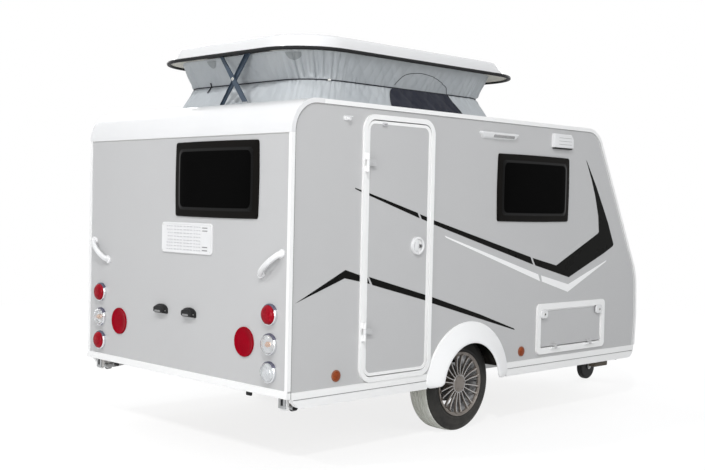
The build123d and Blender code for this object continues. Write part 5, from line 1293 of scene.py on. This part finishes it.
def makePlateLamps():
    # arched base and hood stacked outwards, a slotted window and two screws
    parts = []
    for middle in rearFit["plateY"]:
        base = slab(lambda inset: archOutline(0.128, 0.056, inset),
                    ((0, 0), (0, 0.010), (0.002, 0.013), (0.010, 0.0145), (0.014, 0.0145)))
        hood = slab(lambda inset: archOutline(0.100, 0.046, inset),
                    ((0, 0.010), (0.001, 0.026), (0.005, 0.032), (0.012, 0.034), (0.018, 0.034)))
        window = moved(roundSlab(0.056, 0.012, 0.005, 0.004, 0.0015), (0, -0.014, 0.0315))
        parts += fitted([(base, "blackPlastic"), (hood, "blackPlastic"), (window, "greyPlastic")],
                        (middle, rearFit["plateZ"], 0), onRear)
        for side in (-1, 1):
            screw = turned(((0.0038, 0.0), (0.0038, 0.0022), (0.0022, 0.0030), (0.0003, 0.0030)), 16)
            parts += fitted([(screw, "zincBright")], (middle + side * 0.054, rearFit["plateZ"] - 0.010, 0.0135), onRear)
    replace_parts(makePiece("plateLamps", parts, "caravan", sharp=32), "plate_lamps")


# eight rows of hooded slots in four columns, each three slots wide, and four dark marks
louvre = {
    "rows": (1.264, 1.244, 1.224, 1.204, 1.184, 1.166, 1.148, 1.128), "slots": 3,
    "columns": ((0.120, 0.052), (0.046, -0.043), (-0.049, -0.144), (-0.150, -0.222)),
    "shortRows": (2, 3, 4), "shortStart": 0.109, "marks": (1.260, 1.243, 1.149, 1.130), "markY": -0.260,
    "screwInset": 0.014,
}


def makeGrille():
    # a rounded plate, with slots and hoods in rows and a screw in each corner
    left, right, foot, top = rearFit["grille"]
    middle = ((left + right) / 2, (foot + top) / 2, 0)
    wide, high = right - left, top - foot
    plate = slab(lambda inset: roundOutline(wide, high, 0.022, inset, 8),
                 ((0, 0), (0, 0.0050), (0.0012, 0.0074), (0.0036, 0.0084), (0.0100, 0.0086), (0.0125, 0.0072),
                  (0.0160, 0.0070)))
    parts = [(placed(moved(plate, middle), onRear), "whiteMoulding")]
    for row, height in enumerate(louvre["rows"]):
        for column, (start, stop) in enumerate(louvre["columns"]):
            if column == 0 and row in louvre["shortRows"]:
                start = louvre["shortStart"]
            width = (start - stop) / louvre["slots"]
            for index in range(louvre["slots"]):
                centre = start - (index + 0.5) * width
                # each slot's opening is a pale grey slab just proud of the plate: painted shade inside the slot
                slotShade = roundSlab(width - 0.005, 0.0062, 0.003, 0.0012, 0.0004, 4, base=0.0066)
                hood = carried(np.array([(-width / 2 + 0.003, 0.0036, 0.0070), (0, 0.0036, 0.0086),
                                         (width / 2 - 0.003, 0.0036, 0.0070)]), circle(0.0017, 8), up=(0, 1, 0))
                parts += fitted([(slotShade, "paleGrey"), (hood, "whiteMoulding")], (centre, height, 0), onRear)
    for height in louvre["marks"]:
        mark = roundSlab(0.050, 0.0060, 0.003, 0.0014, 0.0004, 4, base=0.0066)
        parts += fitted([(mark, "greyAndPaintedShade")], (louvre["markY"], height, 0), onRear)
    inset = louvre["screwInset"]
    for across in (left + inset, right - inset):
        for height in (foot + inset, top - inset):
            screw = turned(((0.0042, 0.0), (0.0042, 0.0016), (0.0026, 0.0026), (0.0003, 0.0026)), 18)
            parts += fitted([(screw, "zincBright")], (across, height, 0.0066), onRear)
    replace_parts(makePiece("ventGrille", parts, "caravan", sharp=32), "vent_grille")


def makeHandles():
    # a flat oval carried along a bowed path between two rounded feet
    parts = []
    for side in (-1, 1):
        (lowY, lowZ), (highY, highZ) = rearFit["handleLow"], rearFit["handleHigh"]
        run = np.array((highY - lowY, highZ - lowZ))
        along = np.linspace(0, 1, 33)
        # the bar leaves each foot steeply and bows gently between them
        stand = 0.034 * np.clip(np.sin(math.pi * along), 0, 1) ** 0.34 + 0.004 * np.sin(math.pi * along)
        path = np.stack([side * (lowY + run[0] * along), lowZ + run[1] * along, stand + 0.001], -1)
        wide = 0.0165 + 0.0020 * np.abs(2 * along - 1) ** 4
        section = roundOutline(2.0, 1.55, 0.74, 0.0, 6, 1)
        parts.append((placed(carried(path, section, up=(0, 0, 1), scale=wide), onRear), "whiteMoulding"))
        for y, z in (rearFit["handleLow"], rearFit["handleHigh"]):
            foot = roundSlab(0.058, 0.043, 0.020, 0.012, 0.005, 8)
            slope = math.atan2(run[1], run[0])
            turnIt = np.array([(math.cos(slope), math.sin(slope), 0), (-math.sin(slope), math.cos(slope), 0),
                               (0, 0, 1)])
            points = foot[0] @ turnIt * np.array((side, 1, 1)) + np.array((side * y, z, 0))
            parts.append((placed((points, foot[1], foot[2]), onRear), "whiteMoulding"))
    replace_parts(makePiece("grabHandles", parts, "caravan", sharp=45), "grab_handles")


makeRearLights()
makePlateLamps()
makeGrille()
makeHandles()
print("rear fittings made")


# side walls: forward from the rear wall and up, in metres; boxes are rear, front, foot and top
sideFit = {
    "markerX": (0.354, 2.042), "markerZ": 0.467, "awning": (1.553, 1.942, 1.847, 1.893),
    "hinges": (0.700, 1.650), "retainer": (0.399, 1.889), "eye": (0.693, 1.872),
    "vent": (2.327, 2.554, 1.827, 1.921), "latches": (2.2680, 2.9280), "latchZ": 0.7015,
    "handle": (0.990, 1.178), "handleScale": (1.25, 1.25, 1.0), "hingePin": (0.543, 0.030),
}


def makeMarkers():
    # turned base and domed lens
    parts = []
    base = turned(((0.0330, 0.0), (0.0330, 0.0050), (0.0312, 0.0066), (0.0268, 0.0072), (0.0258, 0.0060),
                   (0.0003, 0.0060)), 48)
    lens = turned(((0.0255, 0.0050), (0.0255, 0.0082), (0.0230, 0.0108), (0.0165, 0.0128), (0.0070, 0.0137),
                   (0.0003, 0.0139)), 48)
    for side in (-1, 1):
        for forward in sideFit["markerX"]:
            parts += fitted([(base, "amberEdge"), (lens, "amberLens")], (forward, sideFit["markerZ"], 0), onSide(side))
    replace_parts(makePiece("sideMarkers", parts, "caravan", sharp=35), "side_lights")


def makeAwningLight():
    # boat-shaped housing from stacked outlines, with a ribbed lens that leans down
    rear, front, foot, top = sideFit["awning"]
    long, high = front - rear, top - foot
    middle = ((rear + front) / 2, (foot + top) / 2, 0)

    def outlineAt(inset):
        # lower corners drawn in, so that the housing is boat shaped
        outline = roundOutline(long, high, 0.016, inset, 8, 10)
        drop = np.clip((0.3 * high - outline[:, 1]) / (0.8 * high), 0, 1)
        return np.stack([outline[:, 0] * (1 - 0.15 * drop), outline[:, 1]], -1)

    shape = slab(outlineAt, ((0, 0), (0, 0.004), (0.0015, 0.010), (0.004, 0.019), (0.0075, 0.026), (0.011, 0.029),
                             (0.015, 0.030)))
    # the face leans: full depth at the top, a third of it at the foot
    lean = 0.42 + 0.58 * np.clip((shape[0][:, 1] + high / 2) / high, 0, 1)
    housing = (shape[0] * np.stack([np.ones(len(lean)), np.ones(len(lean)), lean], -1), shape[1], shape[2])
    parts = [(housing, "whiteMoulding")]
    lens = roundSlab(0.215, 0.019, 0.007, 0.0050, 0.0016, 6)
    tilt = facingPlane((0, 0, 0), (1, 0, 0), (0, 0.94, 0.34), (0, -0.34, 0.94))
    parts.append((moved(placed(lens, tilt), (0.035, -0.0035, 0.0175)), "greyLens"))
    for index in range(24):
        rib = roundSlab(0.0034, 0.0160, 0.0015, 0.0016, 0.0006, 3)
        rib = moved(placed(rib, tilt), (0.035 - 0.100 + 0.200 * index / 23, -0.0035 - 0.0016, 0.0175 + 0.0045))
        parts.append((rib, "greyLens"))
    parts = fitted(parts, middle, onSide(-1))
    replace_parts(makePiece("awningLight", parts, "caravan", sharp=35), "awning_light")


def makeVentBox():
    # stacked outlines with three grey strips in the face, painted shade of its grooves, and a black block below,
    # painted shade of its open mouth
    rear, front, foot, top = sideFit["vent"]
    long, high = front - rear, top - foot
    middle = ((rear + front) / 2, (foot + top) / 2, 0)

    def outlineAt(inset):
        # front upper corner cut off
        half, rise = long / 2 - inset, high / 2 - inset
        cut = 0.030 - 0.4 * inset
        return np.array([(half, -rise), (half, rise - cut), (half - cut, rise), (-half + 0.004, rise),
                         (-half, rise - 0.004), (-half, -rise + 0.003), (-half + 0.003, -rise)])

    box = slab(outlineAt, ((0, 0.0), (0, 0.019), (0.0015, 0.0235), (0.0045, 0.0255), (0.009, 0.026)))
    parts = [(box, "whiteMoulding")]
    for index in range(3):
        groove = roundSlab(0.150, 0.0022, 0.001, 0.0004, 0.0001, 3, base=0.0258)
        parts.append((moved(groove, (0.012, 0.020 - 0.022 * index, 0)), "greyPlastic"))
    # black block under the box: painted shade of its mouth
    mouth = moved(roundSlab(long - 0.024, 0.010, 0.003, 0.0205, 0.001, 4), (0, -high / 2 - 0.0035, 0))
    parts = fitted(parts + [(mouth, "blackPlastic")], middle, onSide(-1))
    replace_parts(makePiece("ventBox", parts, "caravan", sharp=30), "vent_box")


def makeLatches():
    # rounded plate, turned lock and its keyhole, a black slab that is painted shade
    parts = []
    for forward in sideFit["latches"]:
        place = onSide(-1, 0.014)
        lobe = slab(lambda inset: roundOutline(0.076, 0.058, 0.022, inset, 8),
                    ((0, 0), (0, 0.0065), (0.0015, 0.0090), (0.005, 0.0102), (0.012, 0.0106)))
        lock = turned(((0.0105, 0.0), (0.0105, 0.0030), (0.0092, 0.0042), (0.0003, 0.0042)), 28)
        slot = roundSlab(0.0100, 0.0130, 0.0045, 0.0012, 0.0003, 5, base=0.0038)
        parts += fitted([(lobe, "whiteMoulding")], (forward, sideFit["latchZ"], 0), place)
        parts += fitted([(lock, "zincBright"), (slot, "blackPlastic")], (forward, sideFit["latchZ"], 0.0100), place)
    makePiece("lockerLatches", parts, "locker_lid", sharp=35)


def makeDoorHandle():
    # turned ring and pan, with a paddle and a lock inside it
    forward, height = sideFit["handle"]
    place = onSide(-1, 0.005)
    ring = turned(((0.0300, 0.0), (0.0430, 0.0), (0.0430, 0.0100), (0.0418, 0.0145), (0.0385, 0.0172),
                   (0.0345, 0.0176), (0.0318, 0.0150), (0.0305, 0.0090), (0.0300, 0.0)), 72)
    pan = turned(((0.0310, 0.0), (0.0310, 0.0062), (0.0180, 0.0050), (0.0003, 0.0048)), 48)
    paddle = slab(lambda inset: roundOutline(0.026, 0.056, 0.012, inset, 8),
                  ((0, 0.004), (0, 0.0140), (0.0015, 0.0165), (0.004, 0.0175), (0.009, 0.0178)))
    lock = turned(((0.0095, 0.0045), (0.0095, 0.0155), (0.0082, 0.0166), (0.0060, 0.0166), (0.0052, 0.0140),
                   (0.0003, 0.0140)), 32)
    # the keyhole is a black slab on the lock: painted shade
    slot = roundSlab(0.0090, 0.0110, 0.0035, 0.0010, 0.0002, 5, base=0.0138)
    parts = [((ring[0], ring[1], []), "whiteMoulding"), (pan, "whiteProfile"),
             (moved(paddle, (-0.011, 0.001, 0)), "whiteMoulding"), (moved(lock, (0.0145, -0.001, 0)), "greyAndPaintedShade"),
             (moved(slot, (0.0145, -0.001, 0)), "blackPlastic")]
    grow = np.array(sideFit["handleScale"])
    parts = [((points * grow, quads, ends), look) for (points, quads, ends), look in parts]
    parts = fitted(parts, (forward, height, 0), place)
    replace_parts(makePiece("doorHandle", parts, "door", sharp=35), "door_handle")


# painted groove shade and lips: forward and up from the rear wall's foot line, in metres
trimFit = {
    "skirtRuns": ((0.040, 1.105), (1.890, 3.415)), "skirtZ": 0.3655,
    # piece, body, the two upright lips, their foot and top, then (height, rear, front) of the level ones
    "lips": (("doorLips", "door", (0.5595, 1.0945), 0.500, 1.832, ()),
             ("flapLips", "locker_lid", (2.2465, 2.9695), 0.500, 0.700,
              ((0.7240, 2.300, 2.900), (0.4590, 2.262, 2.395), (0.4590, 2.480, 2.735), (0.4590, 2.820, 2.954)))),
    # the side outline: each corner and the radius of its bend
    "corners": (((0.0, 0.372), 0), ((0.0, 1.978), 0.180), ((2.887, 1.978), 0.190), ((3.4456, 0.937), 0.430),
                ((3.457, 0.625), 0.430), ((3.4436, 0.372), 0)),
    "grooveInset": 0.0235, "grooveStand": 0.0040,
}


def makeTrimLines():
    # grey strip along each skirt, painted shade of its groove, and white lips that narrow the gaps beside door leaf and
    # flap
    parts = []
    for side in (-1, 1):
        for rear, front in trimFit["skirtRuns"]:
            line = roundSlab(front - rear, 0.0038, 0.0015, 0.0006, 0.0002, 3, base=0.0058)
            parts += fitted([(line, "greyAndPaintedShade")], ((rear + front) / 2, trimFit["skirtZ"], 0), onSide(side))
    makePiece("skirtLines", parts, "caravan", sharp=30)
    for name, body, stations, low, high, level in trimFit["lips"]:
        strips = [moved(roundSlab(0.0060, high - low, 0.0008, 0.0045, 0.0006, 3),
                        (station + way * 0.0005, (low + high) / 2, 0.0005)) for station, way in zip(stations, (-1, 1))]
        strips += [moved(roundSlab(front - rear, 0.0055, 0.0008, 0.0045, 0.0006, 3),
                         ((rear + front) / 2, height, 0.0005)) for height, rear, front in level]
        parts = [(placed(strip, onSide(-1)), "whiteProfile") for strip in strips]
        makePiece(name, parts, body, sharp=30)


def sidePath():
    # straight from bend to bend, each bend an arc of its radius that touches both straights
    corners = trimFit["corners"]
    path = [np.array(corners[0][0])]
    for (before, _), (corner, radius), (after, _) in zip(corners, corners[1:], corners[2:]):
        back, ahead = (np.subtract(other, corner) / np.linalg.norm(np.subtract(other, corner))
                       for other in (before, after))
        half = math.acos(np.clip(back @ ahead, -1, 1)) / 2
        middle = np.array(corner) + (back + ahead) / np.linalg.norm(back + ahead) * radius / math.sin(half)
        start, end = (np.array(corner) + way * radius / math.tan(half) - middle for way in (back, ahead))
        for share in np.linspace(0, 1, 25):
            # between the two ends of the bend, turned evenly
            turn = math.pi - 2 * half
            point = (math.sin((1 - share) * turn) * start + math.sin(share * turn) * end) / math.sin(turn)
            path.append(middle + point)
    path.append(np.array(corners[-1][0]))
    return np.array(path)


def makeTrimGrooveShade():
    # thin grey strip round the inner edge of each corner profile: the painted shadow of its groove
    path = sidePath()
    along = np.gradient(path, axis=0)
    along /= np.linalg.norm(along, axis=1)[:, None]
    inward = np.stack([along[:, 1], -along[:, 0]], -1)
    parts = []
    for side in (-1, 1):
        run = np.concatenate([path + inward * trimFit["grooveInset"],
                              np.full((len(path), 1), trimFit["grooveStand"])], 1)
        groove = carried(run, roundOutline(0.0046, 0.0012, 0.0005, 0.0, 2, 1), up=(0, 0, 1))
        parts.append((placed(groove, onSide(side)), "greyAndPaintedShade"))
    makePiece("trimGrooveShade", parts, "caravan", sharp=60)


# under each corner: how far forward of the rear wall, how far from the middle, and the height
cornerFit = {
    "stirrup": (0.040, 0.922, 0.336), "hook": (0.012, 0.670, 0.364), "knob": (0.108, 0.926, 0.309),
    "frontFoot": (3.080, 0.920, 0.288),
}


def underCorner(key, side, first, second, out):
    # local axes at a fitting's own place on one side
    forward, across, height = cornerFit[key]
    return facingPlane((rearX + forward, side * across, height), first, second, out)


def makeCornerFittings():
    # stirrup of each rear steady under the body's edge, with a black sheet in its mouth as painted shade of the
    # opening, and a small dark hook beside it
    backwards = ((0, -1, 0), (0, 0, 1), (-1, 0, 0))
    parts = []
    for side in (-1, 1):
        place = underCorner("stirrup", side, *backwards)
        plate = slab(lambda inset: roundOutline(0.060, 0.068, 0.012, inset, 6),
                     ((0, -0.014), (0, 0.0), (0.0015, 0.002), (0.004, 0.002)))
        mouth = moved(roundSlab(0.036, 0.046, 0.004, 0.0012, 0.0003, 4, base=0.0018), (0.002, 0.003, 0))
        hook = underCorner("hook", side, *backwards)
        parts += [(placed(plate, place), "whiteProfile"), (placed(mouth, place), "blackPlastic"),
                  (placed(roundSlab(0.044, 0.026, 0.006, 0.010, 0.002, 4), hook), "blackPlastic")]
    makePiece("steadyStirrups", parts, "caravan", sharp=35)
    for sideName, side in (("Right", -1), ("Left", 1)):
        place = underCorner("knob", side, *backwards)
        knob = turned(((0.0120, -0.020), (0.0175, -0.016), (0.0185, 0.000), (0.0185, 0.012), (0.0160, 0.018),
                       (0.0090, 0.021), (0.0004, 0.0215)), 32)
        makePiece(f"rearSteadyKnob{sideName}", [(placed(knob, place), "blackPlastic")],
                  f"steady_rear_{sideName.lower()}_body", sharp=35)
        # broad foot under the front leg
        place = underCorner("frontFoot", side, (1, 0, 0), (0, 1, 0), (0, 0, 1))
        foot = slab(lambda inset: roundOutline(0.170, 0.060, 0.010, inset, 5),
                    ((0.006, -0.018), (0.001, -0.014), (0, -0.004), (0, 0.012), (0.004, 0.016)))
        makePiece(f"frontSteadyFoot{sideName}", [(placed(foot, place), "steadyFoot")],
                  f"steady_front_{sideName.lower()}_body", sharp=35)


def makeHingeCovers():
    # white shells over the door's middle knuckles, and grey covers over its two straps
    pin, stand = sideFit["hingePin"]
    parts = []
    for height in sideFit["hinges"]:
        shell = turned(((0.0092, 0.0), (0.0100, 0.0), (0.0100, 0.0330), (0.0092, 0.0330), (0.0092, 0.0)), 28)
        shell = (shell[0] + np.array((0, 0, height - 0.0165)), shell[1], [])
        upright = facingPlane((rearX + pin, -(sideY + stand), 0), (1, 0, 0), (0, -1, 0), (0, 0, 1))
        parts.append((placed(shell, upright), "whiteMoulding"))
        cover = roundSlab(0.056, 0.0345, 0.004, 0.0078, 0.0015, 5)
        parts += fitted([(cover, "greySheet")], (0.5865, height, 0.0170), onSide(-1))
        for station in (0.5905, 0.6050):
            head = turned(((0.0032, 0.0), (0.0032, 0.0010), (0.0020, 0.0016), (0.0003, 0.0016)), 14)
            parts += fitted([(head, "paleGrey")], (station, height, 0.0246), onSide(-1))
    makePiece("doorHingeCovers", parts, "door", sharp=35)


def makeRetainer():
    # hook on the wall that holds the open door, and its eye on the leaf
    forward, height = sideFit["retainer"]
    plate = roundSlab(0.050, 0.026, 0.005, 0.007, 0.002, 5)
    arm = moved(roundSlab(0.020, 0.020, 0.005, 0.020, 0.003, 5), (0.006, -0.001, 0.004))
    jaw = moved(roundSlab(0.030, 0.007, 0.003, 0.008, 0.002, 5), (0.008, 0.008, 0.020))
    screw = turned(((0.003, 0), (0.003, 0.001), (0.0003, 0.0018)), 14)
    screws = [moved(screw, (across, 0, 0.0068)) for across in (-0.019, 0.021)]
    parts = [(shape, "whiteMoulding") for shape in (plate, arm, jaw)] + [(shape, "zincBright") for shape in screws]
    parts = fitted(parts, (forward, height, 0), onSide(-1))
    makePiece("doorRetainer", parts, "caravan", sharp=35)
    forward, height = sideFit["eye"]
    eye = roundSlab(0.038, 0.018, 0.004, 0.009, 0.002, 5)
    # the eye's slot is a grey slab: painted shade of its opening
    slot = moved(roundSlab(0.022, 0.005, 0.002, 0.0006, 0.0002, 4), (0, -0.001, 0.0088))
    parts = fitted([(eye, "paleGrey"), (slot, "greyAndPaintedShade")], (forward, height, 0.0068), onSide(-1))
    makePiece("doorEye", parts, "door", sharp=35)


# front lamps: height, radius, finish of the face and of the base; then the two hatches on the left side
frontFit = {"across": 0.840,
            "lamps": ((0.790, 0.034, "clearLens", "bowlWhite"), (0.560, 0.030, "bowlWhite", "paleGrey"))}
hatches = ((2.620, 0.560, 0.150, 0.130), (0.560, 0.560, 0.130, 0.130))     # forward, up, width, height


def makeFrontLights():
    # white position lamps and round reflectors on the lower front: a turned base with a low domed face
    parts = []
    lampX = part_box("front_wall")[1][0]
    for side in (-1, 1):
        for height, radius, look, baseLook in frontFit["lamps"]:
            base = turned(((radius, -0.020), (radius, 0.006), (radius * 0.94, 0.009), (radius * 0.80, 0.009),
                           (radius * 0.78, 0.006), (0.0004, 0.006)), 40)
            lens = turned(((radius * 0.78, 0.005), (radius * 0.78, 0.011), (radius * 0.6, 0.0145), (0.0004, 0.016)), 40)
            place = facingPlane((lampX - 0.002, side * frontFit["across"], height), (0, 1, 0), (0, 0, 1), (1, 0, 0))
            parts += [(placed(base, place), baseLook), (placed(lens, place), look)]
    makePiece("frontLamps", parts, "caravan", sharp=35)


def makeHatches():
    # mains inlet and water filler, each a frame with a flap, on the left side
    parts = []
    for forward, height, wide, high in hatches:
        frameRing = slab(lambda inset: roundOutline(wide, high, 0.018, inset, 6),
                         ((0, 0), (0, 0.006), (0.002, 0.009), (0.010, 0.009), (0.012, 0.006)))
        flap = moved(roundSlab(wide - 0.026, high - 0.026, 0.012, 0.006, 0.0015, 6), (0, 0, 0.004))
        grip = moved(roundSlab(0.034, 0.010, 0.004, 0.004, 0.0012, 5), (0, -high / 2 + 0.022, 0.0095))
        lock = moved(turned(((0.007, 0), (0.007, 0.002), (0.0004, 0.0024)), 20), (0, 0.006, 0.0098))
        parts += fitted([(frameRing, "whiteProfile"), (flap, "whiteMoulding"), (grip, "whiteProfile"),
                         (lock, "zincBright")], (forward, height, 0), onSide(1))
    makePiece("serviceHatches", parts, "caravan", sharp=35)


makeTrimLines()
makeTrimGrooveShade()
makeCornerFittings()
makeHingeCovers()
makeRetainer()
makeFrontLights()
makeHatches()
makeMarkers()
makeAwningLight()
makeVentBox()
makeLatches()
makeDoorHandle()
print("side fittings made")
